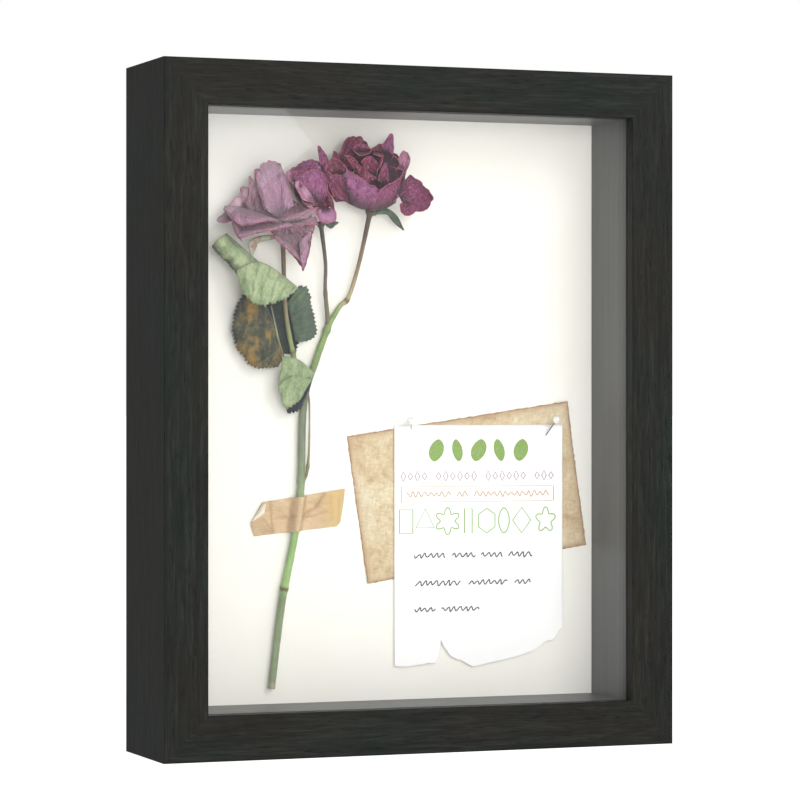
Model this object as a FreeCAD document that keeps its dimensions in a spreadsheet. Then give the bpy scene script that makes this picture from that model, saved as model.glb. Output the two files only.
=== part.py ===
"""Deep mitred shadow box with a lift-out back that carries a dried-rose display.

Millimetres. +Z is up, the glazed front faces -Y, and X runs from left to right as seen from the front.
The origin is the centre of the box's footprint on the surface that it stands on.
"""

import FreeCAD
import Part
import Sketcher

import os

V = FreeCAD.Vector
Y_AXIS = V(0, 1, 0)
SHEET = "dims"
OUT = "parts"

# Driving dimensions: alias, millimetres (or degrees where the note says so), note.
DIMENSIONS = [
    ("outer_width", 245.4, "frame, outside"),
    ("outer_height", 309, "frame, outside"),
    ("frame_depth", 59.3, "front face to back face"),
    ("rail_face", 20.4, "width of a rail seen from the front"),
    ("rail_wall", 14.6, "thickness of a rail behind the lip"),
    ("lip_thick", 5.9, "front lip that covers the edge of the glass"),
    ("arris", 0.7, "softened long edges of the rails"),
    ("pane_gap", 0.5, "clearance round the glass, spacers and back in the rails"),
    ("glass_thick", 2, ""),
    ("spacer_thick", 5.3, "strips that hold the glass and line the box"),
    ("spacer_gap", 0.2, "spacer to backing sheet"),
    ("board_front", 46.4, "front face to the backing sheet's surface"),
    ("sheet_thick", 0.4, "cream backing sheet"),
    ("foam_thick", 9, "board that takes the pins"),
    ("panel_thick", 3, "hardboard back"),
    ("staple_leg", 7, "corner fastener, along each rail"),
    ("staple_thick", 0.7, ""),
    ("staple_depth", 9, "how far a corner fastener is driven in"),
    ("staple_near", 4.5, "outer corner fastener, from the outside faces"),
    ("staple_far", 9.5, "inner corner fastener, from the outside faces"),
    ("button_pivot", 8.5, "turn button's screw, from the outside face"),
    ("button_reach", 14, "pivot to tip"),
    ("button_width", 9, ""),
    ("button_thick", 1.2, ""),
    ("button_lift", 0.1, "gap under a turn button and under its screw's head"),
    ("button_hole", 1.36, "radius"),
    ("screw_shank", 1.3, "radius"),
    ("screw_length", 10, "under the head"),
    ("screw_head", 2.9, "radius"),
    ("screw_head_high", 1.5, ""),
    ("recess_arm", 1.5, "cross recess, centre to tip"),
    ("recess_wide", 0.6, ""),
    ("recess_deep", 0.9, ""),
    ("drill_room", 0.02, "pilot hole's radius over the shank's"),
    ("button_side", 85, "turn buttons on the side rails, from mid height"),
    ("button_end", 62, "turn buttons on the top and bottom rails, from the middle"),
    ("hanger_length", 42, ""),
    ("hanger_width", 8, ""),
    ("hanger_thick", 0.9, ""),
    ("hanger_rise", 1.6, "how far the toothed middle stands off the wood"),
    ("hanger_foot", 7, "length of each flat end"),
    ("tooth_pitch", 2.2, ""),
    ("tooth_deep", 1.5, ""),
    ("brad_radius", 0.7, ""),
    ("brad_length", 9, ""),
    ("brad_head", 1.6, "radius"),
    ("brad_head_high", 0.6, ""),
    ("bumper_radius", 5, ""),
    ("bumper_high", 3, "clear bumper that keeps the fittings off the wall"),
    ("bumper_end", 30, "bumpers from the top and bottom"),
    ("paper_length", 111.6, "aged paper"),
    ("paper_width", 68.6, ""),
    ("paper_thick", 0.4, ""),
    ("paper_x", 39.3, "centre"),
    ("paper_z", 116.3, "centre"),
    ("paper_tilt", 8.3, "degrees"),
    ("card_left", 2.1, "note card"),
    ("card_right", 87, ""),
    ("card_top", 147.3, ""),
    ("card_bottom", 34.6, "lowest torn edge"),
    ("card_thick", 0.4, ""),
    ("pin_head", 1.75, "radius of a pearl head"),
    ("pin_radius", 0.3, "needle"),
    ("pin_buried", 7, "depth of the point behind the sheet's surface"),
    ("pin_out", 8, "head's centre in front of the sheet's surface"),
    ("tape_length", 42.5, ""),
    ("tape_width", 15.6, ""),
    ("tape_thick", 0.3, ""),
    ("tape_tilt", 8.1, "degrees"),
    ("tape_rise", 5.4, "height of the tape's hump over the stem"),
    ("tape_hump", 4.6, "half width of the hump's top"),
    ("tape_foot", 7, "half width of the hump's base"),
    ("stem_radius", 1.7, ""),
    ("branch_radius", 1.0, ""),
    ("stem_off", 3.2, "stem's axis in front of the sheet"),
    ("branch_off", 6.2, "branches' axis in front of the sheet"),
    ("blade_thick", 0.7, "leaves and sepals"),
]
VALUE = {name: value for name, value, note in DIMENSIONS}

# Frequently used places, as expressions of the sheet's cells.
FRONT_Y = "(-(dims.frame_depth + dims.bumper_high) / 2)"
BACK_Y = f"({FRONT_Y} + dims.frame_depth)"
BOARD_Y = f"({FRONT_Y} + dims.board_front)"
PANE_WIDTH = "(dims.outer_width - 2 * dims.rail_wall - 2 * dims.pane_gap)"
PANE_HEIGHT = "(dims.outer_height - 2 * dims.rail_wall - 2 * dims.pane_gap)"
MID_HEIGHT = "(dims.outer_height / 2)"


def number(expression):
    """The value of an expression of the sheet's cells, for first guesses and for shapes made by Part."""
    text = str(expression)
    for name in sorted(VALUE, key=len, reverse=True):
        text = text.replace(f"{SHEET}.{name}", repr(float(VALUE[name])))
    total = FreeCAD.Units.Quantity(text)
    return float(total.Value)


def make_sheet(doc):
    """The spreadsheet of driving dimensions, one alias a row."""
    sheet = doc.addObject("Spreadsheet::Sheet", SHEET)
    for row, (name, value, note) in enumerate(DIMENSIONS, start=1):
        sheet.set(f"A{row}", name)
        sheet.set(f"B{row}", str(value))
        sheet.setAlias(f"B{row}", name)
        if note:
            sheet.set(f"C{row}", note)
    doc.recompute()


def bind(thing, path, expression):
    """Binds one property to an expression of the sheet's cells."""
    thing.setExpression(path, str(expression))


def place(thing, x, y, z, turn=0.0):
    """Puts a sub-part in the row frame: a turn in degrees about +Y, then a move bound to the sheet."""
    thing.Placement = FreeCAD.Placement(V(0, 0, 0), FreeCAD.Rotation(Y_AXIS, turn))
    for axis, expression in zip("xyz", (x, y, z)):
        bind(thing, f".Placement.Base.{axis}", expression)
    return thing


def new_body(doc, label):
    body = doc.addObject("PartDesign::Body", label)
    body.Label = label
    return body


def new_sketch(body, name, role="XZ_Plane", offset=None):
    """A sketch on one of the body's own origin planes, moved along the plane's normal."""
    plane = next(f for f in body.Origin.OriginFeatures if f.Role == role)
    sketch = body.newObject("Sketcher::SketchObject", name)
    sketch.AttachmentSupport = [(plane, "")]
    sketch.MapMode = "FlatFace"
    if offset is not None:
        bind(sketch, ".AttachmentOffset.Base.z", offset)
    return sketch


def fix_point(sketch, edge, end, x, y):
    """Ties one end of a sketch edge to a place given by two expressions."""
    for kind, axis, expression in (("DistanceX", -2, x), ("DistanceY", -1, y)):
        value = number(expression)
        if abs(value) < 1e-9:
            sketch.addConstraint(Sketcher.Constraint("PointOnObject", edge, end, axis))
            continue
        index = sketch.addConstraint(Sketcher.Constraint(kind, -1, 1, edge, end, value))
        bind(sketch, f"Constraints[{index}]", expression)


def outline(sketch, points):
    """A closed polygon through points, each a pair of expressions."""
    first = sketch.GeometryCount
    spots = [V(number(x), number(y), 0) for x, y in points]
    count = len(spots)
    for i in range(count):
        sketch.addGeometry(Part.LineSegment(spots[i], spots[(i + 1) % count]), False)
    for i in range(count):
        sketch.addConstraint(
            Sketcher.Constraint("Coincident", first + i, 2, first + (i + 1) % count, 1)
        )
    for i, (x, y) in enumerate(points):
        fix_point(sketch, first + i, 1, x, y)


def box_points(left, bottom, right, top):
    return [(left, bottom), (right, bottom), (right, top), (left, top)]


def circle(sketch, x, y, radius):
    """A circle whose centre and radius are expressions."""
    centre = V(number(x), number(y), 0)
    edge = sketch.addGeometry(Part.Circle(centre, V(0, 0, 1), number(radius)), False)
    fix_point(sketch, edge, 3, x, y)
    index = sketch.addConstraint(Sketcher.Constraint("Radius", edge, number(radius)))
    bind(sketch, f"Constraints[{index}]", radius)


def pad(body, sketch, length, name="Pad"):
    """Extrudes a sketch of the XZ plane towards +Y."""
    feature = body.newObject("PartDesign::Pad", name)
    feature.Profile = sketch
    feature.Reversed = True
    bind(feature, "Length", length)
    sketch.Visibility = False
    return feature


def pocket(body, sketch, length, name="Pocket"):
    """Cuts a sketch of the XZ plane out of the body, towards +Y, and makes sure that it cut something."""
    body.Document.recompute()
    before = body.Shape.Volume
    feature = body.newObject("PartDesign::Pocket", name)
    feature.Profile = sketch
    bind(feature, "Length", length)
    body.Document.recompute()
    if not body.Shape.Volume < before - 1e-3:
        raise RuntimeError(f"{body.Label}: {name} cut nothing")
    return feature


def round_edges(body, radius, wanted, name="Arris"):
    """Fillets the edges of the body that wanted(edge) picks."""
    body.Document.recompute()
    tip = body.Tip
    names = [f"Edge{i}" for i, e in enumerate(tip.Shape.Edges, start=1) if wanted(e)]
    feature = body.newObject("PartDesign::Fillet", name)
    feature.Base = (tip, names)
    bind(feature, "Radius", radius)
    return feature


def slab(doc, label, width, height, thick):
    """A flat rectangular sub-part centred on its own origin, from y = 0 towards +Y."""
    body = new_body(doc, label)
    sketch = new_sketch(body, label + "_outline")
    half_w, half_h = f"({width}) / 2", f"({height}) / 2"
    outline(sketch, box_points(f"-{half_w}", f"-{half_h}", half_w, half_h))
    pad(body, sketch, thick)
    return body


def turned(body, sketch, name="Turned"):
    """Revolves a sketch of the XY plane about the Y axis."""
    feature = body.newObject("PartDesign::Revolution", name)
    feature.Profile = sketch
    feature.ReferenceAxis = (sketch, ["V_Axis"])
    feature.Angle = 360
    sketch.Visibility = False
    return feature


def repeat(doc, label, pattern, places):
    """A group of identical solids: copies of a pattern body at places, each a point and a turn about +Y."""
    doc.recompute()
    solids = []
    for point, turn in places:
        spot = FreeCAD.Placement(point, FreeCAD.Rotation(Y_AXIS, turn))
        solids.append(pattern.Shape.transformed(spot.toMatrix()))
    group = doc.addObject("Part::Feature", label)
    group.Label = label
    group.Shape = Part.makeCompound(solids)
    return group


# ---------------------------------------------------------------- the frame

# Each rail: turn about +Y, middle of its outer face (x, z), half its length, distance of its two screws from
# its middle, and whether it carries a hanger.
RAILS = {
    "rail_bottom": (0, ("0", "0"), "dims.outer_width / 2", "dims.button_end", False),
    "rail_left": (90, ("-dims.outer_width / 2", MID_HEIGHT), MID_HEIGHT, "dims.button_side", True),
    "rail_top": (180, ("0", "dims.outer_height"), "dims.outer_width / 2", "dims.button_end", True),
    "rail_right": (-90, ("dims.outer_width / 2", MID_HEIGHT), MID_HEIGHT, "dims.button_side", False),
}


def make_rail(doc, label):
    """One mitred length of moulding, along X, with its outer face at z = 0 and its front at y = 0."""
    turn, (x, z), half, button_at, has_hanger = RAILS[label]
    body = new_body(doc, label)
    face = new_sketch(body, label + "_face")
    outline(
        face,
        [
            (f"-({half})", "0"),
            (half, "0"),
            (f"{half} - dims.rail_face", "dims.rail_face"),
            (f"dims.rail_face - ({half})", "dims.rail_face"),
        ],
    )
    pad(body, face, "dims.frame_depth", "Moulding")
    rabbet = new_sketch(body, label + "_rabbet", offset="-dims.lip_thick")
    outline(rabbet, box_points(f"-({half})", "dims.rail_wall", half, "dims.rail_face + 1"))
    pocket(body, rabbet, "dims.frame_depth - dims.lip_thick", "Rabbet")
    slots = new_sketch(
        body, label + "_slots", offset="-(dims.frame_depth - dims.staple_depth)"
    )
    for level in ("dims.staple_near", "dims.staple_far"):
        reach = f"{level} + dims.staple_leg"
        for sign in ("", "-"):
            outline(
                slots,
                box_points(
                    f"{sign}({half} - ({reach}))",
                    level,
                    f"{sign}({half} - ({level}) + 1)",
                    f"{level} + dims.staple_thick",
                ),
            )
    pocket(body, slots, "dims.staple_depth", "Corner_slots")
    drill(body, label + "_screws", "dims.screw_shank", "dims.screw_length",
          [f"-{button_at}", button_at], "dims.button_pivot")
    if has_hanger:
        foot = "(dims.hanger_length - dims.hanger_foot) / 2"
        drill(body, label + "_brads", "dims.brad_radius", "dims.brad_length",
              [f"-{foot}", foot], "dims.rail_wall / 2")

    def long_edge(edge):
        spots = [v.Point for v in edge.Vertexes]
        if len(spots) < 2 or abs(spots[0].y - spots[1].y) > 1e-6 or edge.Length < VALUE["outer_width"] / 2:
            return False
        y, z = spots[0].y, spots[0].z
        corners = [(0, 0), (0, VALUE["rail_face"]), (VALUE["frame_depth"], 0)]
        return any(abs(y - a) < 1e-6 and abs(z - b) < 1e-6 for a, b in corners)

    round_edges(body, "dims.arris", long_edge)
    return place(body, x, FRONT_Y, z, turn)


def drill(body, name, shank, length, places, level):
    """Pilot holes in a rail's back face for screws or brads."""
    holes = new_sketch(body, name, offset=f"-(dims.frame_depth - {length})")
    for x in places:
        circle(holes, x, level, f"{shank} + dims.drill_room")
    pocket(body, holes, length, name + "_holes")


def staple_pattern(doc):
    """A right-angled corner fastener, its outer corner at the origin, from y = 0 towards +Y."""
    body = new_body(doc, "staple_pattern")
    sketch = new_sketch(body, "staple_section")
    outline(
        sketch,
        [
            ("0", "0"),
            ("dims.staple_leg", "0"),
            ("dims.staple_leg", "dims.staple_thick"),
            ("dims.staple_thick", "dims.staple_thick"),
            ("dims.staple_thick", "dims.staple_leg"),
            ("0", "dims.staple_leg"),
        ],
    )
    pad(body, sketch, "dims.staple_depth")
    return body


def make_staples(doc):
    """Two fasteners at each mitre, flush with the back face."""
    half = VALUE["outer_width"] / 2
    high = VALUE["outer_height"]
    corners = [(-half, 0, 0), (-half, high, 90), (half, high, 180), (half, 0, -90)]
    y = number(BACK_Y) - VALUE["staple_depth"]
    places = []
    for x, z, turn in corners:
        inward = FreeCAD.Rotation(Y_AXIS, turn).multVec(V(1, 0, 1))
        for level in (VALUE["staple_near"], VALUE["staple_far"]):
            places.append((V(x, y, z) + inward * level, turn))
    return repeat(doc, "corner_v_nails", staple_pattern(doc), places)


def make_spacer(doc, label, length, x, z, turn):
    """A lining strip between the glass and the backing sheet, its outer face at z = 0."""
    body = new_body(doc, label)
    sketch = new_sketch(body, label + "_face")
    half = f"({length}) / 2"
    outline(sketch, box_points(f"-{half}", "0", half, "dims.spacer_thick"))
    glass_back = "dims.lip_thick + dims.glass_thick"
    pad(body, sketch, f"dims.board_front - dims.spacer_gap - ({glass_back})")
    return place(body, x, f"{FRONT_Y} + {glass_back}", z, turn)


def make_frame(doc):
    """Rails, fasteners, glass and lining."""
    parts = [make_rail(doc, label) for label in RAILS]
    parts.append(make_staples(doc))
    pane = slab(doc, "glass_pane", PANE_WIDTH, PANE_HEIGHT, "dims.glass_thick")
    parts.append(place(pane, "0", f"{FRONT_Y} + dims.lip_thick", MID_HEIGHT))
    side = f"{PANE_WIDTH} / 2"
    end = f"{PANE_HEIGHT} / 2"
    inner = f"{PANE_WIDTH} - 2 * dims.spacer_thick"
    parts.append(make_spacer(doc, "spacer_left", PANE_HEIGHT, f"-{side}", MID_HEIGHT, 90))
    parts.append(make_spacer(doc, "spacer_right", PANE_HEIGHT, side, MID_HEIGHT, -90))
    parts.append(make_spacer(doc, "spacer_bottom", inner, "0", f"{MID_HEIGHT} - {end}", 0))
    parts.append(make_spacer(doc, "spacer_top", inner, "0", f"{MID_HEIGHT} + {end}", 180))
    return parts


# ---------------------------------------------------------------- fittings on the back


def button_places():
    """Each turn button: label, place of its screw and the turn that lays it along its rail."""
    near = VALUE["button_pivot"]
    half = VALUE["outer_width"] / 2
    high = VALUE["outer_height"]
    along, up = VALUE["button_end"], VALUE["button_side"]
    return [
        ("turn_button_top_left", -along, high - near, 0),
        ("turn_button_top_right", along, high - near, 0),
        ("turn_button_bottom_left", -along, near, 180),
        ("turn_button_bottom_right", along, near, 180),
        ("turn_button_left_lower", near - half, high / 2 - up, -90),
        ("turn_button_left_upper", near - half, high / 2 + up, -90),
        ("turn_button_right_lower", half - near, high / 2 - up, 90),
        ("turn_button_right_upper", half - near, high / 2 + up, 90),
    ]


def make_button(doc, label, x, z, turn):
    """A swivelling retainer: a round-ended strip with its screw hole near one end, at its own origin."""
    body = new_body(doc, label)
    sketch = new_sketch(body, label + "_strip")
    half = "dims.button_width / 2"
    outline(sketch, box_points(f"-{half}", f"-{half}", "dims.button_reach", half))
    pad(body, sketch, "dims.button_thick")
    hole = new_sketch(body, label + "_hole")
    circle(hole, "0", "0", "dims.button_hole")
    pocket(body, hole, "dims.button_thick")

    def corner(edge):
        spots = [v.Point for v in edge.Vertexes]
        return len(spots) == 2 and spots[0].distanceToPoint(spots[1]) > 1e-6 and abs(
            abs(spots[0].y - spots[1].y) - VALUE["button_thick"]
        ) < 1e-6 and abs(spots[0].x) > VALUE["button_hole"] + 1e-6

    round_edges(body, f"{half} - 0.05", corner, "Ends")
    return place(body, x, f"{BACK_Y} + dims.button_lift", z, turn)


def screw_pattern(doc):
    """A pan-head screw: underside of the head at y = 0, shank towards -Y, cross recess in the head."""
    body = new_body(doc, "screw_pattern")
    profile = new_sketch(body, "screw_profile", role="XY_Plane")
    tip = "dims.screw_length - dims.drill_room"
    outline(
        profile,
        [
            ("0", f"-({tip})"),
            ("dims.screw_shank", f"-({tip}) + 2 * dims.screw_shank"),
            ("dims.screw_shank", "0"),
            ("dims.screw_head", "0"),
            ("dims.screw_head", "dims.screw_head_high * 0.4"),
            ("dims.screw_head * 0.72", "dims.screw_head_high"),
            ("0", "dims.screw_head_high"),
        ],
    )
    turned(body, profile)
    cross = new_sketch(
        body, "screw_recess", offset="-(dims.screw_head_high - dims.recess_deep)"
    )
    arm, wide = "dims.recess_arm", "dims.recess_wide / 2"
    outline(
        cross,
        [
            (f"-{arm}", f"-{wide}"), (f"-{wide}", f"-{wide}"), (f"-{wide}", f"-{arm}"),
            (wide, f"-{arm}"), (wide, f"-{wide}"), (arm, f"-{wide}"),
            (arm, wide), (wide, wide), (wide, arm),
            (f"-{wide}", arm), (f"-{wide}", wide), (f"-{arm}", wide),
        ],
    )
    pocket(body, cross, "dims.recess_deep", "Cross_recess")
    return body


def make_screws(doc):
    """One screw through each turn button."""
    y = number(BACK_Y) + VALUE["button_thick"] + 2 * VALUE["button_lift"]
    places = [(V(x, y, z), turn) for label, x, z, turn in button_places()]
    return repeat(doc, "turn_button_screws", screw_pattern(doc), places)


def hanger_places():
    """Each sawtooth hanger: label, place of its middle on the back face and its turn about +Y."""
    inset = VALUE["rail_wall"] / 2
    half = VALUE["outer_width"] / 2
    high = VALUE["outer_height"]
    return [
        ("sawtooth_hanger_top", 0, high - inset, 0),
        ("sawtooth_hanger_side", inset - half, high / 2, -90),
    ]


def make_hanger(doc, label, x, z, turn):
    """A bent steel strip with flat feet and a raised middle whose lower edge is cut into teeth."""
    body = new_body(doc, label)
    profile = new_sketch(body, label + "_profile", role="XY_Plane", offset="-dims.hanger_width / 2")
    end, foot = "dims.hanger_length / 2", "(dims.hanger_length / 2 - dims.hanger_foot)"
    ramp, rise, thick = f"({foot} - dims.hanger_rise)", "dims.hanger_rise", "dims.hanger_thick"
    half = [(end, "0"), (end, thick), (f"{foot} + 0.3", thick), (f"{ramp} + 0.3", f"{rise} + {thick}")]
    lower = [(ramp, rise), (foot, "0")]

    def other(points):
        return [(f"-({px})", py) for px, py in reversed(points)]

    outline(profile, half + other(half) + other(lower) + lower)
    strip = body.newObject("PartDesign::Pad", "Strip")
    strip.Profile = profile
    bind(strip, "Length", "dims.hanger_width")
    teeth = new_sketch(body, label + "_teeth", offset="-dims.hanger_rise + 0.5")
    pitch, edge = "dims.tooth_pitch", "dims.hanger_width / 2"
    for i in range(-5, 6):
        outline(
            teeth,
            [
                (f"({i} - 0.45) * {pitch}", f"-{edge} - 0.5"),
                (f"({i} + 0.45) * {pitch}", f"-{edge} - 0.5"),
                (f"{i} * {pitch}", f"dims.tooth_deep - {edge}"),
            ],
        )
    pocket(body, teeth, "dims.hanger_thick + 1", "Teeth")
    holes = new_sketch(body, label + "_holes")
    for sign in ("", "-"):
        circle(holes, f"{sign}(dims.hanger_length - dims.hanger_foot) / 2", "0", "dims.brad_radius + 0.1")
    pocket(body, holes, "dims.hanger_thick", "Brad_holes")
    return place(body, x, BACK_Y, z, turn)


def brad_pattern(doc):
    """A flat-headed nail: underside of the head at y = 0, shank towards -Y."""
    body = new_body(doc, "brad_pattern")
    profile = new_sketch(body, "brad_profile", role="XY_Plane")
    tip = "dims.brad_length + dims.hanger_thick - dims.drill_room"
    outline(
        profile,
        [
            ("0", f"-({tip})"),
            ("dims.brad_radius", f"-({tip}) + 2 * dims.brad_radius"),
            ("dims.brad_radius", "0"),
            ("dims.brad_head", "0"),
            ("dims.brad_head", "dims.brad_head_high"),
            ("0", "dims.brad_head_high"),
        ],
    )
    turned(body, profile)
    return body


def make_brads(doc):
    """The nails that hold both hangers, one through each foot."""
    foot = (VALUE["hanger_length"] - VALUE["hanger_foot"]) / 2
    y = number(BACK_Y) + VALUE["hanger_thick"]
    places = []
    for label, x, z, turn in hanger_places():
        along = FreeCAD.Rotation(Y_AXIS, turn).multVec(V(foot, 0, 0))
        places += [(V(x, y, z) - along, turn), (V(x, y, z) + along, turn)]
    return repeat(doc, "hanger_brads", brad_pattern(doc), places)


def bumper_pattern(doc):
    """A clear domed bumper, stuck down at y = 0."""
    body = new_body(doc, "bumper_pattern")
    profile = new_sketch(body, "bumper_profile", role="XY_Plane")
    wide, high = "dims.bumper_radius", "dims.bumper_high"
    outline(profile, [("0", "0"), (wide, "0"), (wide, high), ("0", high)])
    turned(body, profile)
    round_edges(body, f"{high} / 2", lambda edge: edge.CenterOfMass.y > VALUE["bumper_high"] - 1e-6, "Dome")
    return body


def make_bumpers(doc):
    """Four bumpers near the back's corners."""
    across = (VALUE["outer_width"] - VALUE["rail_wall"]) / 2
    levels = (VALUE["bumper_end"], VALUE["outer_height"] - VALUE["bumper_end"])
    places = [(V(x, number(BACK_Y), z), 0) for x in (-across, across) for z in levels]
    return repeat(doc, "wall_bumpers", bumper_pattern(doc), places)


def make_fittings(doc):
    parts = [make_button(doc, *where) for where in button_places()]
    parts.append(make_screws(doc))
    parts += [make_hanger(doc, *where) for where in hanger_places()]
    parts.append(make_brads(doc))
    parts.append(make_bumpers(doc))
    return parts


# ---------------------------------------------------------------- the lift-out back and what is mounted on it

# Torn lower edge of the note card, from left to right: x from the card's left edge, z above its lowest point.
TORN_EDGE = [(0, 1.4), (9, 0.2), (16, 0.9), (22.3, 12.1), (27.6, 4.6), (33.4, 3.2), (39.2, 0),
             (58, 2.6), (70.4, 5.8), (78.4, 10.8), (84.9, 16.6)]


def make_back(doc):
    """Hardboard back, pin board and backing sheet, a loose fit in the rails."""
    behind = f"({BOARD_Y} + dims.sheet_thick)"
    layers = [
        ("backing_sheet", "dims.sheet_thick", BOARD_Y),
        ("foam_board", "dims.foam_thick", behind),
        ("back_panel", "dims.panel_thick", f"{behind} + dims.foam_thick"),
    ]
    return [
        place(slab(doc, label, PANE_WIDTH, PANE_HEIGHT, thick), "0", y, MID_HEIGHT)
        for label, thick, y in layers
    ]


def make_papers(doc):
    """The tilted aged paper, and the note card over it."""
    paper = slab(doc, "aged_paper", "dims.paper_length", "dims.paper_width", "dims.paper_thick")
    place(paper, "dims.paper_x", f"{BOARD_Y} - dims.paper_thick", "dims.paper_z", -VALUE["paper_tilt"])
    card = new_body(doc, "note_card")
    sketch = new_sketch(card, "note_card_outline")
    low = [(f"dims.card_left + {x}", f"dims.card_bottom + {z}") for x, z in TORN_EDGE]
    outline(sketch, low + [("dims.card_right", "dims.card_top"), ("dims.card_left", "dims.card_top")])
    pad(card, sketch, "dims.card_thick")
    place(card, "0", f"{BOARD_Y} - dims.paper_thick - dims.card_thick", "0")
    return [paper, card]


# Each pearl-headed pin: side, where it enters the card (x, z) and where its head is (x, z).
PINS = [
    ("left", (11.0, 145.0), (7.7, 149.3)),
    ("right", (78.3, 141.6), (80.8, 149.6)),
]


def make_pins(doc):
    """Two slanting pins, each a needle and a drilled pearl head."""
    parts = []
    for side, entry, head in PINS:
        board = number(BOARD_Y)
        top = V(head[0], board - VALUE["pin_out"], head[1])
        at = V(entry[0], board, entry[1])
        along = (at - top).normalize()
        length = top.distanceToPoint(at) * (1 + VALUE["pin_buried"] / VALUE["pin_out"])
        spin = FreeCAD.Rotation(V(0, 0, 1), along)
        needle = doc.addObject("Part::Cylinder", f"pin_needle_{side}")
        needle.Label = f"pin_needle_{side}"
        bind(needle, "Radius", "dims.pin_radius")
        needle.Height = length
        needle.Placement = FreeCAD.Placement(top, spin)
        ball = doc.addObject("Part::Sphere", f"pearl_{side}")
        bind(ball, "Radius", "dims.pin_head")
        ball.Placement = FreeCAD.Placement(top, FreeCAD.Rotation())
        pearl = doc.addObject("Part::Cut", f"pin_head_{side}")
        pearl.Label = f"pin_head_{side}"
        pearl.Base = ball
        pearl.Tool = needle
        parts += [needle, pearl]
    return parts


def make_tape(doc):
    """Kraft tape stuck to the sheet on both sides of the stem and humped over it."""
    body = new_body(doc, "tape_strip")
    profile = new_sketch(body, "tape_profile", role="XY_Plane", offset="-dims.tape_width / 2")
    end, foot, top = "dims.tape_length / 2", "dims.tape_foot", "dims.tape_hump"
    thick, rise = "dims.tape_thick", "dims.tape_rise"
    under = [(f"-{end}", "0"), (f"-{foot}", "0"), (f"-{top}", f"-({rise} - {thick})"),
             (top, f"-({rise} - {thick})"), (foot, "0"), (end, "0")]
    over = [(end, f"-{thick}"), (f"{foot} + 0.2", f"-{thick}"), (f"{top} + 0.1", f"-{rise}"),
            (f"-({top} + 0.1)", f"-{rise}"), (f"-({foot} + 0.2)", f"-{thick}"), (f"-{end}", f"-{thick}")]
    outline(profile, under + over)
    strip = body.newObject("PartDesign::Pad", "Strip")
    strip.Profile = profile
    bind(strip, "Length", "dims.tape_width")
    return [place(body, "-47", BOARD_Y, "107.6", -VALUE["tape_tilt"])]


# Routes of the spray's stems, as (x, z) points.
STEM = [(-58.7, 28.3), (-55.9, 49), (-52.5, 73), (-48.6, 96), (-45.4, 119), (-43.3, 140),
        (-41.8, 158), (-36.6, 178), (-30.7, 193.4)]
BRANCHES = {
    "branch_right": [(-31.2, 192.6), (-22.2, 206.2), (-17.3, 221.5), (-13.6, 236), (-11.6, 243.6)],
    "branch_middle": [(-33.6, 191.2), (-33.8, 209), (-34.2, 224), (-36.2, 239.8)],
    "branch_left": [(-42.4, 162.6), (-48.4, 180.3), (-51.9, 196), (-53.8, 212), (-54.8, 230.6)],
}


def make_stem(doc, label, route, radius, off):
    """A round stem swept along a smooth curve through its route, in a plane in front of the sheet."""
    curve = Part.BSplineCurve()
    curve.interpolate([V(x, 0, z) for x, z in route])
    path = doc.addObject("Part::Feature", label + "_path")
    path.Shape = Part.Wire([curve.toShape()])
    ring = doc.addObject("Part::Circle", label + "_section")
    bind(ring, "Radius", radius)
    ring.Placement = FreeCAD.Placement(
        curve.value(curve.FirstParameter),
        FreeCAD.Rotation(V(0, 0, 1), curve.tangent(curve.FirstParameter)[0]),
    )
    stem = doc.addObject("Part::Sweep", label)
    stem.Label = label
    stem.Sections = [ring]
    stem.Spine = (path, ["Edge1"])
    stem.Solid = True
    return place(stem, "0", f"{BOARD_Y} - {off}", "0")


def make_stems(doc):
    """The main stem against the sheet and the three flower stems that rise from it."""
    parts = [make_stem(doc, "stem_main", STEM, "dims.stem_radius", "dims.stem_off")]
    for label, route in BRANCHES.items():
        parts.append(make_stem(doc, label, route, "dims.branch_radius", "dims.branch_off"))
    return parts


# Each flower as a plain ellipsoid: its centre (x, distance in front of the sheet, z), then its half sizes
# along x, y and z.
BLOOMS = {
    "bloom_left": ((-66, 17, 248), (19.3, 10, 17)),
    "bloom_middle": ((-38.4, 16, 258.4), (7.7, 9, 16.5)),
    "bloom_right": ((-7.4, 18, 262), (22.8, 11, 17)),
}

# Each leaf or sepal: the place of its base (x, distance of its back from the sheet, z), its direction in
# degrees above +X, its length and half its width.
BLADES = {
    "leaf_curled": ((-51, 7.2, 208), 149, 44, 8.5),
    "leaf_round": ((-48, 3.4, 177), 132, 40, 10),
    "leaf_dark": ((-50, 4.5, 186), 60, 28, 8),
    "leaf_small": ((-44, 7.2, 174), 232, 22, 6.5),
    "sepal_left": ((-54, 8.2, 229), 190, 16, 2.5),
    "sepal_middle": ((-36.4, 7.2, 238.6), 5, 8, 1.5),
    "sepal_right": ((-12.4, 7.2, 242.6), -12, 15, 2),
}


def make_blooms(doc):
    parts = []
    for label, ((x, off, z), (across, deep, high)) in BLOOMS.items():
        flower = doc.addObject("Part::Ellipsoid", label)
        flower.Label = label
        flower.Radius1, flower.Radius2, flower.Radius3 = high, across, deep
        parts.append(place(flower, str(x), f"{BOARD_Y} - {off}", str(z)))
    return parts


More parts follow.
